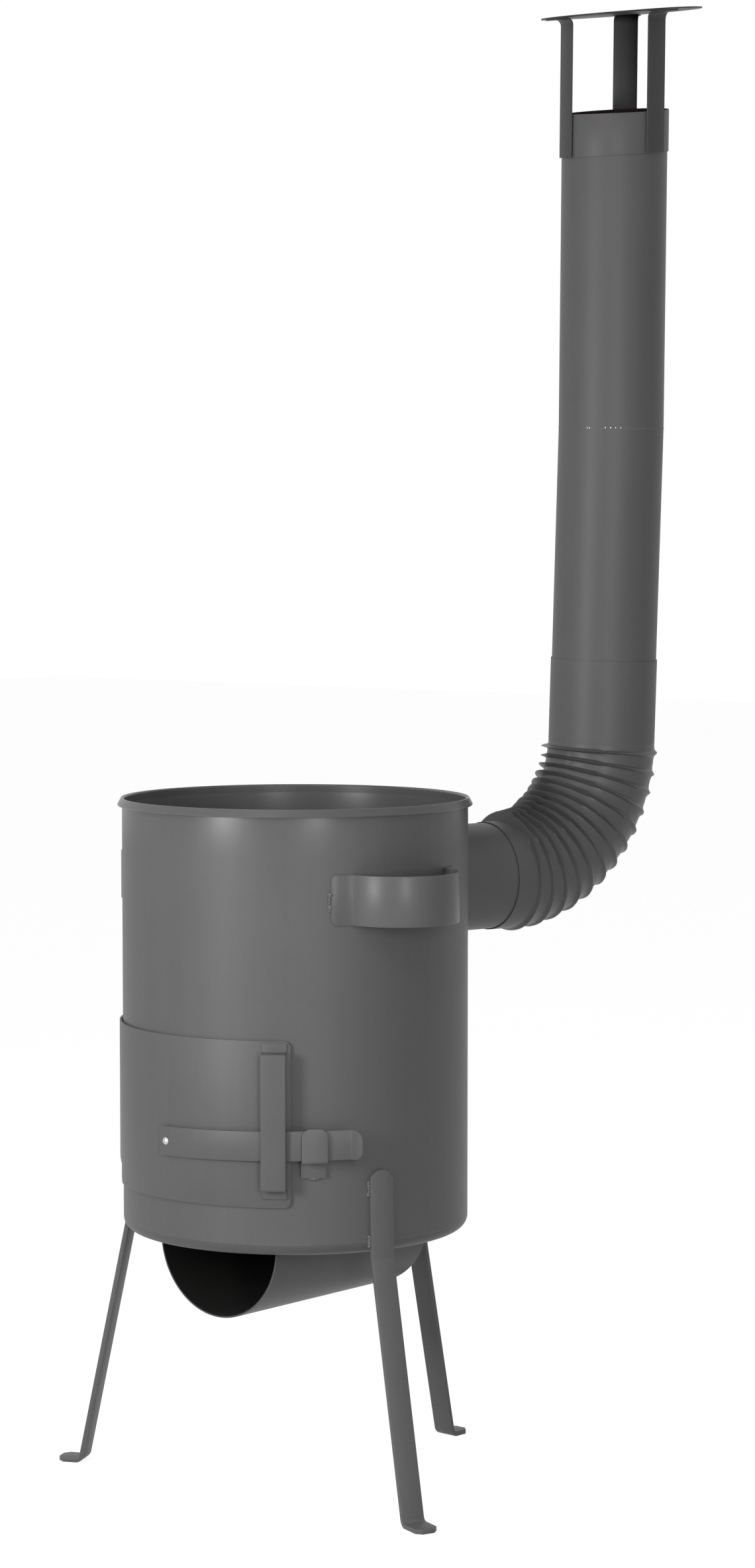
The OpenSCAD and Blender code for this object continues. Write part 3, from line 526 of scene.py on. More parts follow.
@dataclass(frozen=True)
class Workshop:
    """Makes pieces out of meshes and hands them to the frame.

    Attributes:
        smooth_angle: Angle between faces from which their edge is drawn sharp.
        bevel_angle: Angle from which a solid's edge is rounded.
    """

    SAME_POINT: ClassVar[float] = 0.002 * MM
    FLAT_ANGLE: ClassVar[float] = 0.5

    smooth_angle: float = 35.0
    bevel_angle: float = 40.0

    def piece(self, name: str, mesh: bpy.types.Mesh, finish: Finish) -> bpy.types.Object:
        """Makes a piece at the origin from a mesh in the stove's frame.

        Args:
            name: The piece's name.
            mesh: Its mesh, in metres and in place.
            finish: Its finish.

        Returns:
            The new object.
        """
        mesh.name = name
        mesh.materials.clear()
        mesh.materials.append(finish.material())
        mesh.polygons.foreach_set("material_index", [0] * len(mesh.polygons))
        mesh.polygons.foreach_set("use_smooth", [True] * len(mesh.polygons))
        mesh.set_sharp_from_angle(angle=math.radians(self.smooth_angle))
        return linked(name, mesh)

    def seat(self, piece: bpy.types.Object, body: Body, slot: Slot, *nodes: str) -> None:
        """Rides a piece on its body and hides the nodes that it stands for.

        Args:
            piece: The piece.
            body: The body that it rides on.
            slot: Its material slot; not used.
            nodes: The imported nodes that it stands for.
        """
        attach(piece, body.value)
        if nodes:
            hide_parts(*nodes)
        LOG.info("%s rides on %s: %d faces", piece.name, body.value, len(piece.data.polygons))

    def keep(self, node: str, finish: Finish) -> None:
        """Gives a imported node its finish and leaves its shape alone.

        Args:
            node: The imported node.
            finish: Its finish.
        """
        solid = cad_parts[node]
        if not solid.material_slots:
            solid.data.materials.append(finish.material())
        for place in solid.material_slots:
            place.material = finish.material()
        LOG.info("%s keeps its solid", node)

    def softened(self, node: str, width: float) -> bpy.types.Mesh:
        """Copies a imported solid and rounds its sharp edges, as cut and ground metal has them.

        Args:
            node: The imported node.
            width: Width of the rounding, in metres.

        Returns:
            The new mesh, in place.
        """
        sheet = bmesh.new()
        sheet.from_mesh(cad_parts[node].data)
        bmesh.ops.remove_doubles(sheet, verts=sheet.verts, dist=self.SAME_POINT)
        bmesh.ops.dissolve_limit(
            sheet, angle_limit=math.radians(self.FLAT_ANGLE), verts=sheet.verts, edges=sheet.edges,
            delimit={"NORMAL"},
        )
        sharp = [
            edge for edge in sheet.edges
            if len(edge.link_faces) == 2 and edge.calc_face_angle(0.0) > math.radians(self.bevel_angle)
        ]
        bmesh.ops.bevel(
            sheet, geom=sharp, offset=width, segments=2, profile=0.5, affect="EDGES", clamp_overlap=True
        )
        return self.finished(sheet)

    def soften(self, node: str, name: str, body: Body, finish: Finish, width: float) -> None:
        """Sets a copy with soft edges in the place of a painted node."""
        self.seat(self.piece(name, self.softened(node, width), finish), body, Slot.PAINT, node)

    def weld(self, name: str, bead: "WeldBead", points: list[Vector], body: Body, slot: Slot,
             *nodes: str) -> None:
        """Lays a bead along points as a piece of its own."""
        self.seat(self.piece(name, bead.laid(points), bead.finish), body, slot, *nodes)

    @staticmethod
    def finished(sheet: bmesh.types.BMesh) -> bpy.types.Mesh:
        """Turns a bmesh into a mesh and frees it.

        Args:
            sheet: The bmesh.

        Returns:
            The mesh.
        """
        mesh = bpy.data.meshes.new("mesh")
        sheet.to_mesh(mesh)
        sheet.free()
        return mesh


class RuleTree:
    """A Geometry Nodes tree that makes a piece from named sizes."""

    def __init__(self, name: str) -> None:
        """Starts an empty tree.

        Args:
            name: The tree's name.
        """
        self.group = bpy.data.node_groups.new(name, "GeometryNodeTree")
        self.sheet = NodeSheet(self.group)
        self.group.interface.new_socket("Geometry", in_out="INPUT", socket_type="NodeSocketGeometry")
        self.group.interface.new_socket("Geometry", in_out="OUTPUT", socket_type="NodeSocketGeometry")
        self._sizes: dict[str, float | int] = {}
        self._entry = self.group.nodes.new("NodeGroupInput")

    def size(self, name: str, value: float | int) -> Wire:
        """Adds a named input with its value.

        Args:
            name: The input's name.
            value: The value it is set to, a whole number for a count or a seed.

        Returns:
            The wire from the input.
        """
        kind = "NodeSocketInt" if isinstance(value, int) else "NodeSocketFloat"
        item = self.group.interface.new_socket(name, in_out="INPUT", socket_type=kind)
        self._sizes[item.identifier] = value
        return Wire(self.sheet, self._entry.outputs[name])

    def entry(self) -> Wire:
        """The geometry that the tree is given."""
        return Wire(self.sheet, self._entry.outputs["Geometry"])

    def end(self, geometry: Wire, finish: Finish) -> None:
        """Ends the tree: real geometry in its finish.

        Args:
            geometry: What the tree has made.
            finish: The piece's finish.
        """
        real = self.sheet.add("GeometryNodeRealizeInstances", {0: geometry})
        dressed = self.sheet.add("GeometryNodeSetMaterial", {0: real, "Material": finish.material()})
        self.sheet.add("NodeGroupOutput", {0: dressed})

    def made_from(self, points: list[Vector]) -> bpy.types.Mesh:
        """Runs the tree on loose points.

        Args:
            points: The points that the tree starts from, none for a tree that makes its own mesh.

        Returns:
            The resulting plain mesh.
        """
        base = bpy.data.meshes.new("start")
        base.from_pydata([tuple(point) for point in points], [], [])
        holder = linked(self.group.name, base)
        modifier = holder.modifiers.new(self.group.name, "NODES")
        modifier.node_group = self.group
        for identifier, value in self._sizes.items():
            modifier[identifier] = value
        view = bpy.context.evaluated_depsgraph_get()
        result = bpy.data.meshes.new_from_object(holder.evaluated_get(view))
        holder.modifiers.remove(modifier)
        bpy.data.objects.remove(holder)
        return result


@dataclass(frozen=True)
class WeldBead:
    """A bead laid as overlapping drops along points on the joint.

    Attributes:
        drop: Radius of a drop.
        girths: Smallest and largest drop, as shares of that radius.
        shape: A drop's radii along its own axes, as shares of its radius.
        ripple: Height of the ripple on a drop, as a share of the radius.
    """

    RIPPLE_SCALE: ClassVar[float] = 900.0
    ANY_TURN: ClassVar[tuple[float, float, float]] = (6.28, 6.28, 6.28)

    finish: Finish
    drop: float
    seed: int
    girths: tuple[float, float] = (0.72, 1.18)
    shape: tuple[float, float, float] = (1.0, 0.85, 1.1)
    ripple: float = 0.35

    def laid(self, points: list[Vector]) -> bpy.types.Mesh:
        """Lays the bead.

        Args:
            points: The drops' middles, in the stove's frame.

        Returns:
            The bead's mesh.
        """
        tree = RuleTree("weld_bead")
        sheet = tree.sheet
        radius = tree.size("Drop Radius", self.drop)
        seed = tree.size("Seed", self.seed)
        ball = sheet.add("GeometryNodeMeshIcoSphere", {"Radius": 1.0, "Subdivisions": 3})
        girth = sheet.add("FunctionNodeRandomValue", {
            2: self.girths[0], 3: self.girths[1], "Seed": seed,
        }, out=1, data_type="FLOAT")
        turn = sheet.add("FunctionNodeRandomValue", {
            0: (0.0, 0.0, 0.0), 1: self.ANY_TURN, "Seed": seed + 1.0,
        }, data_type="FLOAT_VECTOR")
        size = sheet.joined(*(radius * girth * share for share in self.shape))
        drops = sheet.add("GeometryNodeInstanceOnPoints", {
            "Points": tree.entry(), "Instance": ball, "Rotation": turn, "Scale": size,
        })
        real = sheet.add("GeometryNodeRealizeInstances", {0: drops})
        ripple = sheet.noise(sheet.add("GeometryNodeInputPosition"), self.RIPPLE_SCALE, 2.0)
        outward = sheet.add("GeometryNodeInputNormal")
        shaped = sheet.add("GeometryNodeSetPosition", {
            0: real, "Offset": sheet.scaled(outward, ripple * radius * self.ripple),
        })
        tree.end(shaped, self.finish)
        return tree.made_from(points)


# Sub-assemblies


@dataclass(frozen=True)
class PleatedBend:
    """The folded part of the elbow, from its first pleat to its last.

    Attributes:
        start: Distance from the drum's axis to where the bend starts.
        radius: Radius of the bend's centreline.
        skin: Outer radius of the plain bands between the pleats.
        bore: Inner radius of the bend.
        inner_height: Height of a pleat on the inside of the bend.
        outer_height: Height of a pleat on the outside.
        growth: Power with which the height grows towards the inside.
        fin_width: Half of a pleat's width at its foot, on the inside of the bend.
        fin_spread: Share by which it is wider on the outside.
        bluntness: Power of a pleat's profile; the smaller, the blunter its crest.
        lean: Largest lean of a pleat along the bend, in radians of the bend.
        unevenness: Share by which a pleat is higher or lower along its run.
        roll_height: Swell of the skin beside a pleat on the outside of the bend.
        roll_reach: Width of that swell.
        crumple: Height of the crumples in the skin.
        lap_height: Height of the seam's lap.
        lap_fin: Share by which the pleats are higher at the lap.
        seam_angle: Place of the lengthwise seam, from the inside of the bend.
        bunching: Power by which the rows of faces crowd at the pleats' crests.
    """

    QUARTER: ClassVar[float] = math.pi / 2
    END_FADE: ClassVar[float] = 14.0
    LAP_EDGE: ClassVar[float] = 0.004
    LAP_FADE: ClassVar[float] = 4.5
    LAP_FIN_FADE: ClassVar[float] = 7.0
    ROLL_GROWTH: ClassVar[float] = 1.5
    CRUMPLES_PER_PLEAT: ClassVar[float] = 1.7
    NOISE_STEP: ClassVar[float] = 2.3
    SAME_POINT: ClassVar[float] = 0.004 * MM

    start: float = 275 * MM
    radius: float = 140 * MM
    skin: float = 58.5 * MM
    bore: float = 56.8 * MM
    pleats: int = 13
    inner_height: float = 8.3 * MM
    outer_height: float = 1.6 * MM
    growth: float = 1.6
    fin_width: float = 1.7 * MM
    fin_spread: float = 0.35
    bluntness: float = 0.42
    lean: float = 0.035
    unevenness: float = 0.55
    roll_height: float = 2.0 * MM
    roll_reach: float = 7 * MM
    crumple: float = 1.5 * MM
    lap_height: float = 0.9 * MM
    lap_fin: float = 0.30
    seam_angle: float = -14.0
    bunching: float = 2.2
    rows_per_pleat: int = 14
    inner_rows: int = 24
    around: int = 112
    paint: HeatPaint = HeatPaint("paint_on_pleats", roughness=0.42)

    def folded(self, level: Matrix) -> bpy.types.Mesh:
        """Folds the bend: standing pleats, plain bands between them and a lengthwise lap.

        Args:
            level: The frame in which the stub runs along -Y.

        Returns:
            The bend's mesh, in place.
        """
        tree = RuleTree("pleated_bend")
        sheet = tree.sheet
        bend = tree.size("Bend Radius", self.radius)
        skin = tree.size("Skin Radius", self.skin)
        bore = tree.size("Bore Radius", self.bore)
        outer_rows = self.pleats * self.rows_per_pleat + 1
        rows = outer_rows + self.inner_rows + 1
        grid = sheet.add("GeometryNodeMeshGrid", {
            "Size X": 1.0, "Size Y": 1.0, "Vertices X": rows, "Vertices Y": self.around + 1,
        })
        x, y, _ = sheet.apart(sheet.add("GeometryNodeInputPosition"))
        row = sheet.maths("ROUND", (x + 0.5) * float(rows - 1))
        lap = y + 0.5
        phi = lap * (2 * math.pi) + math.radians(self.seam_angle)
        theta_outer, r_outer = self._outer_skin(tree, bend, skin, phi, lap, row / float(outer_rows - 1))
        outer = row < outer_rows - 0.5
        closing = row > rows - 1.5
        inner = (1.0 - outer) * (1.0 - closing)
        theta_inner = (1.0 - (row - float(outer_rows)) / float(self.inner_rows - 1)) * self.QUARTER
        theta = outer * theta_outer + inner * theta_inner
        radius = outer * r_outer + inner * bore + closing * skin
        out = bend - radius * sheet.maths("COSINE", phi)
        shape = sheet.joined(
            radius * sheet.maths("SINE", phi),
            (out * sheet.maths("SINE", theta) + self.start) * -1.0,
            bend - out * sheet.maths("COSINE", theta),
        )
        bent = sheet.add("GeometryNodeSetPosition", {0: grid, "Position": shape})
        closed = sheet.add("GeometryNodeMergeByDistance", {0: bent, "Distance": self.SAME_POINT})
        tree.end(closed, self.paint)
        mesh = tree.made_from([])
        mesh.transform(level)
        outward = bmesh.new()
        outward.from_mesh(mesh)
        bmesh.ops.recalc_face_normals(outward, faces=outward.faces)
        return Workshop.finished(outward)

    def _outer_skin(self, tree: RuleTree, bend: Wire, skin: Wire, phi: Wire, lap: Wire,
                    along: Wire) -> tuple[Wire, Wire]:
        """Works out where the pleated skin lies.

        Args:
            tree: The bend's tree.
            bend: Radius of the bend's centreline.
            skin: Radius of the plain bands.
            phi: Angle round the pipe from the inside of the bend, in radians.
            lap: Share of the way round the pipe from the seam.
            along: Share of the way along the bend.

        Returns:
            The angle along the bend, in radians, and the distance from its centreline.
        """
        sheet = tree.sheet
        tall = tree.size("Inner Height", self.inner_height)
        low = tree.size("Outer Height", self.outer_height)
        fin = tree.size("Fin Half Width", self.fin_width)
        count = tree.size("Pleats", self.pleats)
        inward = (sheet.maths("COSINE", phi) + 1.0) * 0.5
        pleat = along * count
        cell = sheet.maths("FLOOR", pleat)
        across = (pleat - cell) * 2.0 - 1.0
        bunched = sheet.maths("SIGN", across) * abs(across) ** self.bunching
        pitch = self.QUARTER / count
        wander = self._around_noise(sheet, cell, phi, scale=1.1, shift=4.0)
        theta = (cell + 0.5 + bunched * 0.5) * pitch + (1.0 - abs(across)) * wander * self.lean
        reach = bend - skin * sheet.maths("COSINE", phi)
        aside = abs(bunched) * 0.5 * pitch * reach
        uneven = 1.0 + self._around_noise(sheet, cell, phi, scale=0.7, shift=9.0) * self.unevenness
        crest = (low + (tall - low) * inward ** self.growth) * uneven
        fin_half = fin * (1.0 + self.fin_spread - inward * self.fin_spread)
        sharp = (1.0 - aside / fin_half).at_least(0.0) ** self.bluntness
        beside = 1.0 - sheet.step(aside, 0.0, self.roll_reach)
        roll = (1.0 - inward) ** self.ROLL_GROWTH * beside * self.roll_height
        ends = (along * self.END_FADE).at_most(1.0) * ((1.0 - along) * self.END_FADE).at_most(1.0)
        creased = self._around_noise(sheet, pleat * self.CRUMPLES_PER_PLEAT, phi, scale=3.0, shift=2.0)
        crumple = creased * self.crumple * ends
        lapped = lap > self.LAP_EDGE
        lap_lift = lapped * (1.0 - lap * self.LAP_FADE).at_least(0.0) * self.lap_height * ends
        lap_fin = 1.0 + lapped * (1.0 - lap * self.LAP_FIN_FADE).at_least(0.0) * self.lap_fin
        return theta, skin + crest * sharp * lap_fin + roll + crumple + lap_lift

    def _around_noise(self, sheet: NodeSheet, along: Wire, phi: Wire, scale: float, shift: float) -> Wire:
        """Noise that runs along the bend and closes round the pipe."""
        around = (sheet.maths("COSINE", phi) * scale, sheet.maths("SINE", phi) * scale)
        return sheet.noise(sheet.joined(*around, along * self.NOISE_STEP + shift), 1.0, 2.0)


@dataclass
class Flue:
    """The stub, the elbow and the pipe above it.

    Attributes:
        stub_height: Height of the stub's axis.
        swing: Turn of the elbow about the stub.
        kink: Angle between the pipe's two cans.
        kink_azimuth: Azimuth about the pipe towards which the upper can leans.
        weld_height: Height of the weld between the cans, from the bend's end.
        weld_depth: Depth of its drops in the pipe's skin.
        shake: Largest shift of a drop: along a weld as a share of the pitch, across it in millimetres.
        sleeve_gap: Distance outside the pipe's skin within which a sleeve's surface is inside.
        spark_azimuths: Azimuths about the pipe at which bare metal shows in that weld.
        spark_heights: Heights of the bare specks there, in millimetres above the weld.
        stub_weld_at: Distance of the stub's weld from the drum's axis.
        stub_weld_gap: Distance of its drops outside the stub's skin.
    """

    shop: Workshop
    azimuth: float = 167.0
    stub_height: float = 620 * MM
    swing: float = 2.35
    kink: float = 1.1
    kink_azimuth: float = 139.2
    pipe_radius: float = 57.4 * MM
    weld_height: float = 345 * MM
    weld_drops: int = 190
    weld_depth: float = 0.55 * MM
    shake: float = 0.2
    sleeve_gap: float = 0.7 * MM
    spark_azimuths: tuple[float, ...] = (-157.5, -155.0, -137.0, -131.5, -126.0, -120.5, -28.0, -22.0, 60.0)
    spark_heights: tuple[float, ...] = (0.3, 0.8, 1.3)
    spark_depth: float = 0.2 * MM
    stub_weld_at: float = 180.6 * MM
    stub_weld_gap: float = 0.7 * MM
    stub_drops: int = 130
    bend: PleatedBend = PleatedBend()

    def stub_frame(self) -> Matrix:
        """The frame in which the stub runs along -Y and the pipe stands along +Z."""
        return (
            at_azimuth(self.azimuth) @ Matrix.Translation((0, 0, self.stub_height))
            @ Matrix.Rotation(math.radians(-self.swing), 4, "Y")
        )

    def pipe_frame(self) -> Matrix:
        """The frame whose Z axis is the pipe's axis."""
        return self.stub_frame() @ Matrix.Translation((0, -self.bend.start - self.bend.radius, 0))

    def upper_frame(self) -> Matrix:
        """The upper can's frame, with its origin at the weld between the cans."""
        turn = at_azimuth(self.kink_azimuth)
        return (
            self.pipe_frame() @ Matrix.Translation((0, 0, self.bend.radius + self.weld_height))
            @ turn @ Matrix.Rotation(math.radians(self.kink), 4, "X") @ turn.inverted()
        )

    @staticmethod
    def axis_of(place: Matrix, along: tuple[float, float, float] = (0, 0, 1)) -> Axis:
        """The line through a frame's origin in a direction of that frame, its Z axis unless told."""
        return Axis(place.translation, (place.to_3x3() @ Vector(along)).normalized())

    def build(self) -> None:
        """Dresses the stub, the elbow and the pipe."""
        lower, upper = self.axis_of(self.pipe_frame()), self.axis_of(self.upper_frame())
        stub = self.axis_of(self.stub_frame(), (0, -1, 0))
        # Each of these is near-black inside its bore: soot, with painted shade where the inside is unlit.
        for node, name, axis, outward in (
            ("flue_pipe_lower", "paint_on_lower_can", lower, -0.5 * MM),
            ("flue_pipe_upper", "paint_on_upper_can", upper, -0.5 * MM),
            ("flue_stub", "paint_on_stub", stub, -1 * MM),
            ("elbow_inlet_collar", "paint_on_inlet", stub, self.sleeve_gap),
            ("elbow_outlet_collar", "paint_on_outlet", lower, self.sleeve_gap),
        ):
            self.shop.keep(node, HeatPaint(name, bore=axis, bore_radius=self.pipe_radius + outward))
        self._lay_can_weld()
        self._lay_stub_weld()
        bend = self.shop.piece("pleated_bend", self.bend.folded(self.stub_frame()), self.bend.paint)
        self.shop.seat(bend, Body.ELBOW, Slot.PAINT, "elbow_pleated_bend")

    def _lay_can_weld(self) -> None:
        """Lays the bead between the pipe's two cans, with its bare specks."""
        upright = self.upper_frame()
        turn = random.Random(11)
        ring = []
        for i in range(self.weld_drops):
            angle = 360 * (i + turn.uniform(-self.shake, self.shake)) / self.weld_drops
            height = turn.uniform(-self.shake, self.shake) * MM
            ring.append(upright @ on_circle(self.pipe_radius - self.weld_depth, angle, height))
        coat = PaintedWeld("weld_on_pipe", colour=(0.085, 0.085, 0.087), bare=0.04)
        bead = WeldBead(coat, drop=0.8 * MM, seed=5)
        self.shop.weld("pipe_weld_bead", bead, ring, Body.PIPE, Slot.WELD, "pipe_weld")
        sparks = [
            upright @ on_circle(self.pipe_radius - self.spark_depth, azimuth, height * MM)
            for azimuth in self.spark_azimuths for height in self.spark_heights
        ]
        bright = WeldBead(ZincPlate("bare_weld"), drop=0.55 * MM, seed=9)
        self.shop.weld("pipe_weld_sparks", bright, sparks, Body.PIPE, Slot.ZINC)

    def _lay_stub_weld(self) -> None:
        """Lays the bead round the stub's foot on the drum."""
        level = at_azimuth(self.azimuth)
        radius = self.pipe_radius + self.stub_weld_gap
        turn = random.Random(17)
        ring = []
        for i in range(self.stub_drops):
            angle = 2 * math.pi * (i + turn.uniform(-self.shake, self.shake)) / self.stub_drops
            aside = radius * math.sin(angle)
            depth = math.sqrt(self.stub_weld_at ** 2 - aside ** 2)
            ring.append(level @ Vector((aside, -depth, self.stub_height + radius * math.cos(angle))))
        bead = WeldBead(PaintedWeld("weld_on_stub"), drop=2.1 * MM, seed=7)
        self.shop.weld("stub_weld_bead", bead, ring, Body.STOVE, Slot.WELD, "stub_weld")


@dataclass
class Drum:
    """The drum, its legs, side handles, hinge eyes, catch and the trough under it.

    Attributes:
        rim: Height of the lower edge of the rolled rim.
        legs: Azimuth and sideways lean of each leg.
        leg_beads: Lower and upper end of each bead on a leg, in millimetres above the drum's bottom.
        leg_gap: Distance of these beads from the leg's edge.
        handle_bead: Lower and upper end of a bead, in millimetres above the handles' middle.
        tab_edge: Angle from a handle's middle to the edge of its tab.
        tab_gap: Distance of its bead from that edge.
        catch_foot: Height of the lower edge of the catch's tab.
        catch_bead: Sideways places of the drops under that tab, in millimetres.
        catch_gap: Distance of these drops below the tab.
        catch_rise: Their distance outside the wall.
        drop_pitch: Distance between the drops of an upright bead, in millimetres.
        drop_sway: Largest sideways shift of such a drop, in millimetres.
        drop_rise: Its smallest and largest distance outside the wall, in millimetres.
    """

    shop: Workshop
    radius: float = 180 * MM
    bottom: float = 268 * MM
    rim: float = 709 * MM
    legs: tuple[tuple[float, float], ...] = ((68.8, 1.0), (-66.0, 0.0), (177.0, 0.0))
    leg_top: float = 353 * MM
    leg_width: float = 25 * MM
    leg_beads: tuple[tuple[float, float], ...] = ((8, 17), (60, 72))
    leg_gap: float = 0.4 * MM
    handle_azimuths: tuple[float, ...] = (78.5, -92.0)
    handle_height: float = 626.5 * MM
    handle_bead: tuple[float, float] = (-10, 6)
    tab_edge: float = 26.5
    tab_gap: float = 0.6 * MM
    catch_azimuth: float = 46.4
    catch_foot: float = 348.6 * MM
    catch_bead: tuple[float, ...] = (-3.0, -1.5, 0.0, 1.5, 3.0, 4.5)
    catch_gap: float = 0.8 * MM
    catch_rise: float = 0.5 * MM
    trough_bore: float = 77.5 * MM
    drop_pitch: float = 2.2
    drop_sway: float = 0.3
    drop_rise: tuple[float, float] = (0.2, 0.7)

    def build(self) -> None:
        """Dresses the root body's pieces."""
        bar_paint = HeatPaint(
            "paint_on_bar", colour=(0.110, 0.110, 0.111), peel=0.04 * MM, dent=0.1 * MM, edge_wear_and_highlight=0.6
        )
        # The handles' edges go fully lighter: worn paint and a painted highlight along the loop's rim.
        handle_paint = HeatPaint(
            "paint_on_handle", colour=(0.100, 0.100, 0.101), roughness=0.38, dent=0.1 * MM, edge_wear_and_highlight=1.0
        )
        # The trough's inside is near-black: painted shade, with some soot.
        trough_paint = HeatPaint(
            "paint_on_trough", colour=(0.070, 0.070, 0.071), bore_radius=self.trough_bore + 0.5 * MM,
            bore=Axis(Vector((0, 0, self.bottom)), Vector((0, 1, 0))), bore_stain_and_shade=(0.006, 0.0055, 0.005),
        )
        self.shop.keep("drum_wall", HeatPaint("paint_on_drum", neck_top=self.rim))
        self.shop.keep("drum_bottom", HeatPaint("paint_on_bottom", colour=(0.085, 0.085, 0.086)))
        self.shop.keep("ash_trough", trough_paint)
        self.shop.keep("trough_back_plate", trough_paint)
        self.shop.keep("wall_hinge_eyes", bar_paint)
        self.shop.keep("hinge_pins", ZincPlate("zinc_on_pins"))
        for node in ("leg_front_right", "leg_front_left", "leg_rear"):
            self.shop.soften(node, "bar_" + node, Body.STOVE, bar_paint, width=0.5 * MM)
        for node in ("side_handle_right", "side_handle_left"):
            self.shop.soften(node, "strap_" + node, Body.STOVE, handle_paint, width=0.55 * MM)
        self.shop.soften("latch_catch", "catch_hook", Body.STOVE, bar_paint, width=0.5 * MM)
        self._lay_welds()

    def _lay_welds(self) -> None:
        """Lays the short beads at the legs, the handles' tabs and the catch."""
        turn = random.Random(3)
        points: list[Vector] = []
        for azimuth, lean in self.legs:
            for side in (-1, 1):
                for low, high in self.leg_beads:
                    down = self.leg_top - self.bottom - (low + high) / 2 * MM
                    lean_shift = down * math.tan(math.radians(lean))
                    aside = side * (self.leg_width / 2 + self.leg_gap) + lean_shift
                    points += self._upright_bead(azimuth, aside, low, high, turn)
        middle = (self.handle_height - self.bottom) / MM
        low, high = (middle + end for end in self.handle_bead)
        for azimuth in self.handle_azimuths:
            for side in (-1, 1):
                edge, aside = azimuth + side * self.tab_edge, side * self.tab_gap
                points += self._upright_bead(edge, aside, low, high, turn)
        foot = at_azimuth(self.catch_azimuth)
        depth, height = self.radius + self.catch_rise, self.catch_foot - self.catch_gap
        points += [foot @ Vector((across * MM, -depth, height)) for across in self.catch_bead]
        coat = PaintedWeld("weld_on_drum", colour=(0.095, 0.095, 0.096), bare=-0.1)
        bead = WeldBead(coat, drop=2.3 * MM, seed=3)
        self.shop.weld("drum_weld_beads", bead, points, Body.STOVE, Slot.WELD, "weld_beads")

    def _upright_bead(self, azimuth: float, aside: float, low: float, high: float,
                      turn: random.Random) -> list[Vector]:
        """Places the drops of an upright bead.

        Args:
            azimuth: Azimuth of the welded piece, in degrees.
            aside: Distance from that azimuth, in metres.
            low: Lower end above the drum's bottom, in millimetres.
            high: Upper end above the drum's bottom, in millimetres.
            turn: Source of the small shifts.

        Returns:
            The drops' middles.
        """
        spin = at_azimuth(azimuth)
        depth = math.sqrt(self.radius ** 2 - aside ** 2)
        count = max(3, round((high - low) / self.drop_pitch))
        return [
            spin @ Vector((
                aside + turn.uniform(-self.drop_sway, self.drop_sway) * MM,
                -depth - turn.uniform(*self.drop_rise) * MM,
                self.bottom + (low + (high - low) * i / (count - 1)) * MM,
            ))
            for i in range(count)
        ]


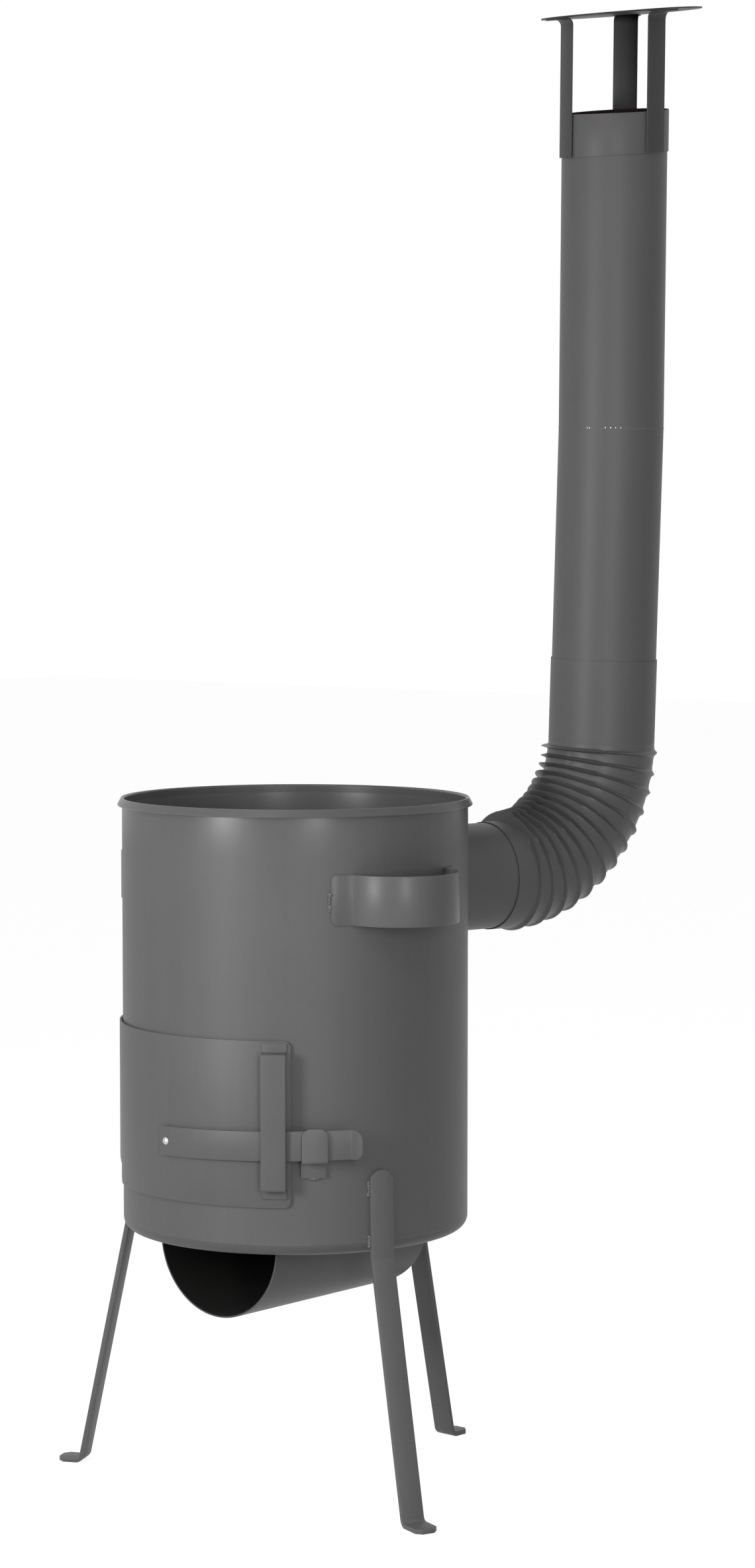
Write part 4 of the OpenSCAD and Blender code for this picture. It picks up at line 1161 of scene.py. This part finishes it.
@dataclass
class Door:
    """The door with its handle, hinge eyes, rivet and washer, and the latch bar that turns on the rivet.

    Attributes:
        head_at: Distance of the rivet head's seat from the drum's axis.
        dent_depth: Depth of the dent that the hammer left in the head.
        tail_radius: Radius of the flat tail behind the door.
        tail_at: Distance of the tail's end from the drum's axis.
        dent_at: Place of the dent, as shares of the head's radius.
        dent_narrowness: How fast the dent rises from its middle.
        blows: Share by which the hammer's blows leave the dome higher or lower.
    """

    BLOW_SCALE: ClassVar[float] = 2.6

    shop: Workshop
    rivet_azimuth: float = -3.5
    rivet_height: float = 378.5 * MM
    head_at: float = 187.82 * MM
    head_radius: float = 4.15 * MM
    head_height: float = 2.4 * MM
    dent_depth: float = 0.55 * MM
    shank_radius: float = 2.0 * MM
    tail_radius: float = 3.32 * MM
    tail_height: float = 1.2 * MM
    tail_at: float = 180.0 * MM
    dent_at: tuple[float, float] = (-0.16, -0.10)
    dent_narrowness: float = 6.0
    blows: float = 0.35
    rivet_zinc: ZincPlate = ZincPlate("zinc_on_rivet", colour=(0.46, 0.46, 0.45), roughness=0.34)

    def build(self) -> None:
        """Dresses the door and the latch."""
        strap_paint = HeatPaint("paint_on_strap", colour=(0.096, 0.096, 0.097), dent=0.1 * MM, edge_wear_and_highlight=0.6)
        plate_paint = HeatPaint("paint_on_door", edge_wear_and_highlight=0.5)
        self.shop.soften("door_plate", "door_sheet", Body.DOOR, plate_paint, width=0.45 * MM)
        self.shop.soften("door_handle", "door_pull", Body.DOOR, strap_paint, width=0.5 * MM)
        self.shop.keep("door_hinge_eyes", strap_paint)
        self.shop.keep("latch_washer", ZincPlate("zinc_on_washer"))
        self.shop.soften("latch_bar", "latch_strap", Body.LATCH, strap_paint, width=0.45 * MM)
        rivet = self.shop.piece("hammered_rivet", self._rivet(), self.rivet_zinc)
        self.shop.seat(rivet, Body.DOOR, Slot.ZINC, "latch_rivet")

    def _rivet(self) -> bpy.types.Mesh:
        """Makes the rivet: a hammered dome with a dent off its middle, a shank and a flat tail.

        Returns:
            The rivet's mesh, in place.
        """
        rivet = bmesh.new()
        rivet.from_mesh(self._rivet_head())
        depth = self.head_at - self.tail_at
        for wide, low, high in (
            (self.shank_radius, -depth, 0.5 * self.head_height),
            (self.tail_radius, -depth, self.tail_height - depth),
        ):
            bmesh.ops.create_cone(
                rivet, cap_ends=True, segments=48, radius1=wide, radius2=wide, depth=high - low,
                matrix=Matrix.Translation((0, 0, (low + high) / 2)),
            )
        mesh = self.shop.finished(rivet)
        mesh.transform(
            at_azimuth(self.rivet_azimuth) @ Matrix.Translation((0, -self.head_at, self.rivet_height))
            @ Matrix.Rotation(math.radians(90), 4, "X")
        )
        return mesh

    def _rivet_head(self) -> bpy.types.Mesh:
        """Shapes the dome.

        Returns:
            The dome's mesh, flat side down at the origin.
        """
        tree = RuleTree("rivet_head")
        sheet = tree.sheet
        radius = tree.size("Head Radius", self.head_radius)
        height = tree.size("Head Height", self.head_height)
        dent = tree.size("Dent Depth", self.dent_depth)
        ball = sheet.add("GeometryNodeMeshUVSphere", {"Segments": 56, "Rings": 36, "Radius": 1.0})
        where = sheet.add("GeometryNodeInputPosition")
        x, y, z = sheet.apart(where)
        from_dent = (x - self.dent_at[0]) ** 2.0 + (y - self.dent_at[1]) ** 2.0
        hollow = (1.0 - from_dent * self.dent_narrowness).at_least(0.0) ** 2.0
        blows = 1.0 + sheet.noise(where, self.BLOW_SCALE, 1.0) * self.blows
        rise = z.at_least(0.0) * height * blows - (z > 0.0) * hollow * dent
        shape = sheet.joined(x * radius, y * radius, rise.at_least(0.0))
        tree.end(sheet.add("GeometryNodeSetPosition", {0: ball, "Position": shape}), self.rivet_zinc)
        return tree.made_from([])


@dataclass(frozen=True)
class Askew:
    """How far the hand-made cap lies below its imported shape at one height.

    Attributes:
        height: Height above the weld between the pipe's cans.
        drop: Drop on the pipe's axis.
        outward: Drop for each metre from the axis away from the drum.
        forward: Drop for each metre from the axis towards the door's side.
    """

    height: float
    drop: float
    outward: float
    forward: float


@dataclass
class Cap:
    """The collar, the three straps and the disc on top of the pipe.

    Attributes:
        turn: Azimuth about the pipe of the side that forward names.
        levels: The cap's foot, its collar's upper end and its disc, from below.
    """

    shop: Workshop
    flue: Flue
    turn: float = -126.2
    levels: tuple[Askew, Askew, Askew] = (
        Askew(height=302 * MM, drop=5.7 * MM, outward=0.012, forward=-0.056),
        Askew(height=351 * MM, drop=9.0 * MM, outward=0.027, forward=-0.020),
        Askew(height=448 * MM, drop=1.2 * MM, outward=0.021, forward=-0.008),
    )

    def _settled(self, mesh: bpy.types.Mesh) -> bpy.types.Mesh:
        """Moves a mesh of the cap along the pipe's axis to where the levels put it.

        Args:
            mesh: The mesh, which is changed.

        Returns:
            The same mesh.
        """
        upright = self.flue.upper_frame()
        mesh.transform(upright.inverted())
        forward = on_circle(1.0, self.turn, 0.0)
        outward = on_circle(1.0, self.turn + 90.0, 0.0)
        for vertex in mesh.vertices:
            place = vertex.co.copy()
            drops = [
                level.drop + level.outward * place.dot(outward) + level.forward * place.dot(forward)
                for level in self.levels
            ]
            below = 0 if place.z < self.levels[1].height else 1
            low, high = self.levels[below].height, self.levels[below + 1].height
            share = min(max((place.z - low) / (high - low), 0.0), 1.0)
            vertex.co.z -= drops[below] * (1 - share) + drops[below + 1] * share
        mesh.transform(upright)
        return mesh

    def build(self) -> None:
        """Dresses the cap."""
        # The collar's inside is dark brown: heat tint, with painted shade.
        collar = HeatPaint("paint_on_cap_collar", bore=self.flue.axis_of(self.flue.upper_frame()),
                           bore_radius=self.flue.pipe_radius + self.flue.sleeve_gap,
                           bore_stain_and_shade=(0.02, 0.012, 0.010))
        dark = HeatPaint("paint_on_cap", colour=(0.052, 0.052, 0.053), dent=0.1 * MM, edge_wear_and_highlight=0.2)
        lid = HeatPaint("paint_on_cap_plate", colour=(0.022, 0.022, 0.022), dent=0.1 * MM, edge_wear_and_highlight=0.1)
        for node, name, width, finish in (
            ("cap_collar", "cap_band", 0.2 * MM, collar),
            ("cap_strap_front", "cap_stay_front", 0.35 * MM, dark),
            ("cap_strap_right", "cap_stay_right", 0.35 * MM, dark),
            ("cap_strap_rear", "cap_stay_rear", 0.35 * MM, dark),
            ("cap_disc", "cap_plate", 0.4 * MM, lid),
        ):
            piece = self.shop.piece(name, self._settled(self.shop.softened(node, width)), finish)
            self.shop.seat(piece, Body.CAP, Slot.PAINT, node)


# Studio


@dataclass
class PhotoCamera:
    """The camera of the photograph.

    Attributes:
        distance: Distance from the drum's axis.
        pitch: Angle below the horizon.
        yaw: Angle by which it looks right of the axis.
        lens: Focal length for a sensor 36 mm high.
    """

    SENSOR_HEIGHT: ClassVar[float] = 36.0
    CLIP_END: ClassVar[float] = 60.0

    azimuth: float = 40.8
    distance: float = 3947 * MM
    height: float = 1011.4 * MM
    pitch: float = 4.0725
    yaw: float = 1.244
    lens: float = 87.29

    def build(self) -> None:
        """Places the camera and makes it the scene's."""
        data = bpy.data.cameras.new("photo_camera")
        data.sensor_fit = "VERTICAL"
        data.sensor_height = self.SENSOR_HEIGHT
        data.lens = self.lens
        data.clip_end = self.CLIP_END
        camera = linked("photo_camera", data)
        pitch, yaw = math.radians(self.pitch), math.radians(self.yaw)
        look = Vector((
            math.sin(yaw) * math.cos(pitch), math.cos(yaw) * math.cos(pitch), -math.sin(pitch)
        ))
        turn = at_azimuth(self.azimuth)
        camera.rotation_euler = (turn.to_3x3() @ look).to_track_quat("-Z", "Y").to_euler()
        camera.location = turn @ Vector((0, -self.distance, self.height))
        bpy.context.scene.camera = camera


@dataclass(frozen=True)
class Softbox:
    """A large plain lamp.

    Attributes:
        distance: Distance from the drum's axis.
        tall: Height of the lit face.
    """

    name: str
    azimuth: float
    distance: float
    height: float
    width: float
    tall: float
    watts: float

    def hang(self, target: Vector) -> None:
        """Hangs the lamp and turns it to a point.

        Args:
            target: The point.
        """
        data = bpy.data.lights.new(self.name, "AREA")
        data.shape = "RECTANGLE"
        data.size = self.width
        data.size_y = self.tall
        data.energy = self.watts
        lamp = linked(self.name, data)
        lamp.location = on_circle(self.distance, self.azimuth, self.height)
        lamp.rotation_euler = (target - lamp.location).to_track_quat("-Z", "Y").to_euler()


@dataclass(frozen=True)
class StudioFloor(Finish):
    """Pale floor that shows white to the camera and keeps the stove's shadow.

    Attributes:
        mottle: Share by which it is lighter or darker in patches.
        lift: Light that only the camera and reflections see.
    """

    MOTTLE_SCALE: ClassVar[float] = 3.0

    colour: Colour = (0.5, 0.5, 0.5)
    mottle: float = 0.04
    lift: float = 0.84

    def _surface(self, sheet: NodeSheet) -> Wire:
        """Draws the floor.

        Args:
            sheet: The material's tree.

        Returns:
            The shader.
        """
        mottle = sheet.noise(sheet.where(), self.MOTTLE_SCALE, 3.0) * self.mottle
        tone = sheet.scaled(self.colour, 1.0 + mottle)
        matt = sheet.add("ShaderNodeBsdfDiffuse", {"Color": tone})
        glow = sheet.add("ShaderNodeEmission", {
            "Color": rgba(WHITE), "Strength": seen_directly(sheet) * self.lift,
        })
        return sheet.add("ShaderNodeAddShader", {0: matt, 1: glow})


def seen_directly(sheet: NodeSheet) -> Wire:
    """1 for what the camera sees, also in reflections and through glass, else 0."""
    path = sheet.add("ShaderNodeLightPath", out="Is Camera Ray")
    return (path + path.also("Is Glossy Ray") + path.also("Is Transmission Ray")).at_most(1.0)


@dataclass
class Studio:
    """The floor, the white surround and the lamps.

    Attributes:
        fill: Strength of the surround as light on the stove.
        floor_gap: Depth of the floor under the feet.
        target: Point to which the lamps are turned.
    """

    fill: float = 0.28
    floor_reach: float = 14.0
    floor_gap: float = 0.2 * MM
    target: tuple[float, float, float] = (0.05, 0.1, 0.75)
    lamps: list[Softbox] = field(default_factory=lambda: [
        Softbox("left_softbox", azimuth=-4.0, distance=1.9, height=0.85, width=0.4, tall=0.6, watts=22.0),
        Softbox("right_softbox", azimuth=54.0, distance=2.6, height=1.0, width=0.3, tall=1.0, watts=21.0),
        Softbox("high_softbox", azimuth=20.0, distance=2.4, height=2.6, width=1.2, tall=1.0, watts=12.0),
    ])

    def build(self) -> None:
        """Sets up floor, surround and lamps."""
        bpy.context.scene.view_settings.view_transform = "Standard"
        sheet = bmesh.new()
        bmesh.ops.create_grid(
            sheet, x_segments=8, y_segments=8, size=self.floor_reach,
            matrix=Matrix.Translation((0, 0, -self.floor_gap)),
        )
        mesh = Workshop.finished(sheet)
        mesh.materials.append(StudioFloor("studio_floor").material())
        floor = linked("studio_floor", mesh)
        self._surround()
        for lamp in self.lamps:
            lamp.hang(Vector(self.target))

    def _surround(self) -> None:
        """Makes the surround white to the camera and plain light to the stove."""
        world = bpy.data.worlds.new("surround")
        world.use_nodes = True
        world.node_tree.nodes.clear()
        sheet = NodeSheet(world.node_tree)
        strength = seen_directly(sheet) * (1.0 - self.fill) + self.fill
        light = sheet.add("ShaderNodeBackground", {"Color": rgba(WHITE), "Strength": strength})
        sheet.add("ShaderNodeOutputWorld", {"Surface": light})
        bpy.context.scene.world = world


def main() -> None:
    """Builds camera, sub-assemblies and studio in order."""
    logging.basicConfig(level=logging.INFO, format="%(name)s: %(message)s")
    shop = Workshop()
    PhotoCamera().build()
    Drum(shop).build()
    Door(shop).build()
    flue = Flue(shop)
    flue.build()
    Cap(shop, flue).build()
    shop.keep("fire_grate", GrateSteel("grate_bar"))
    Studio().build()


if __name__ == "__main__":
    main()
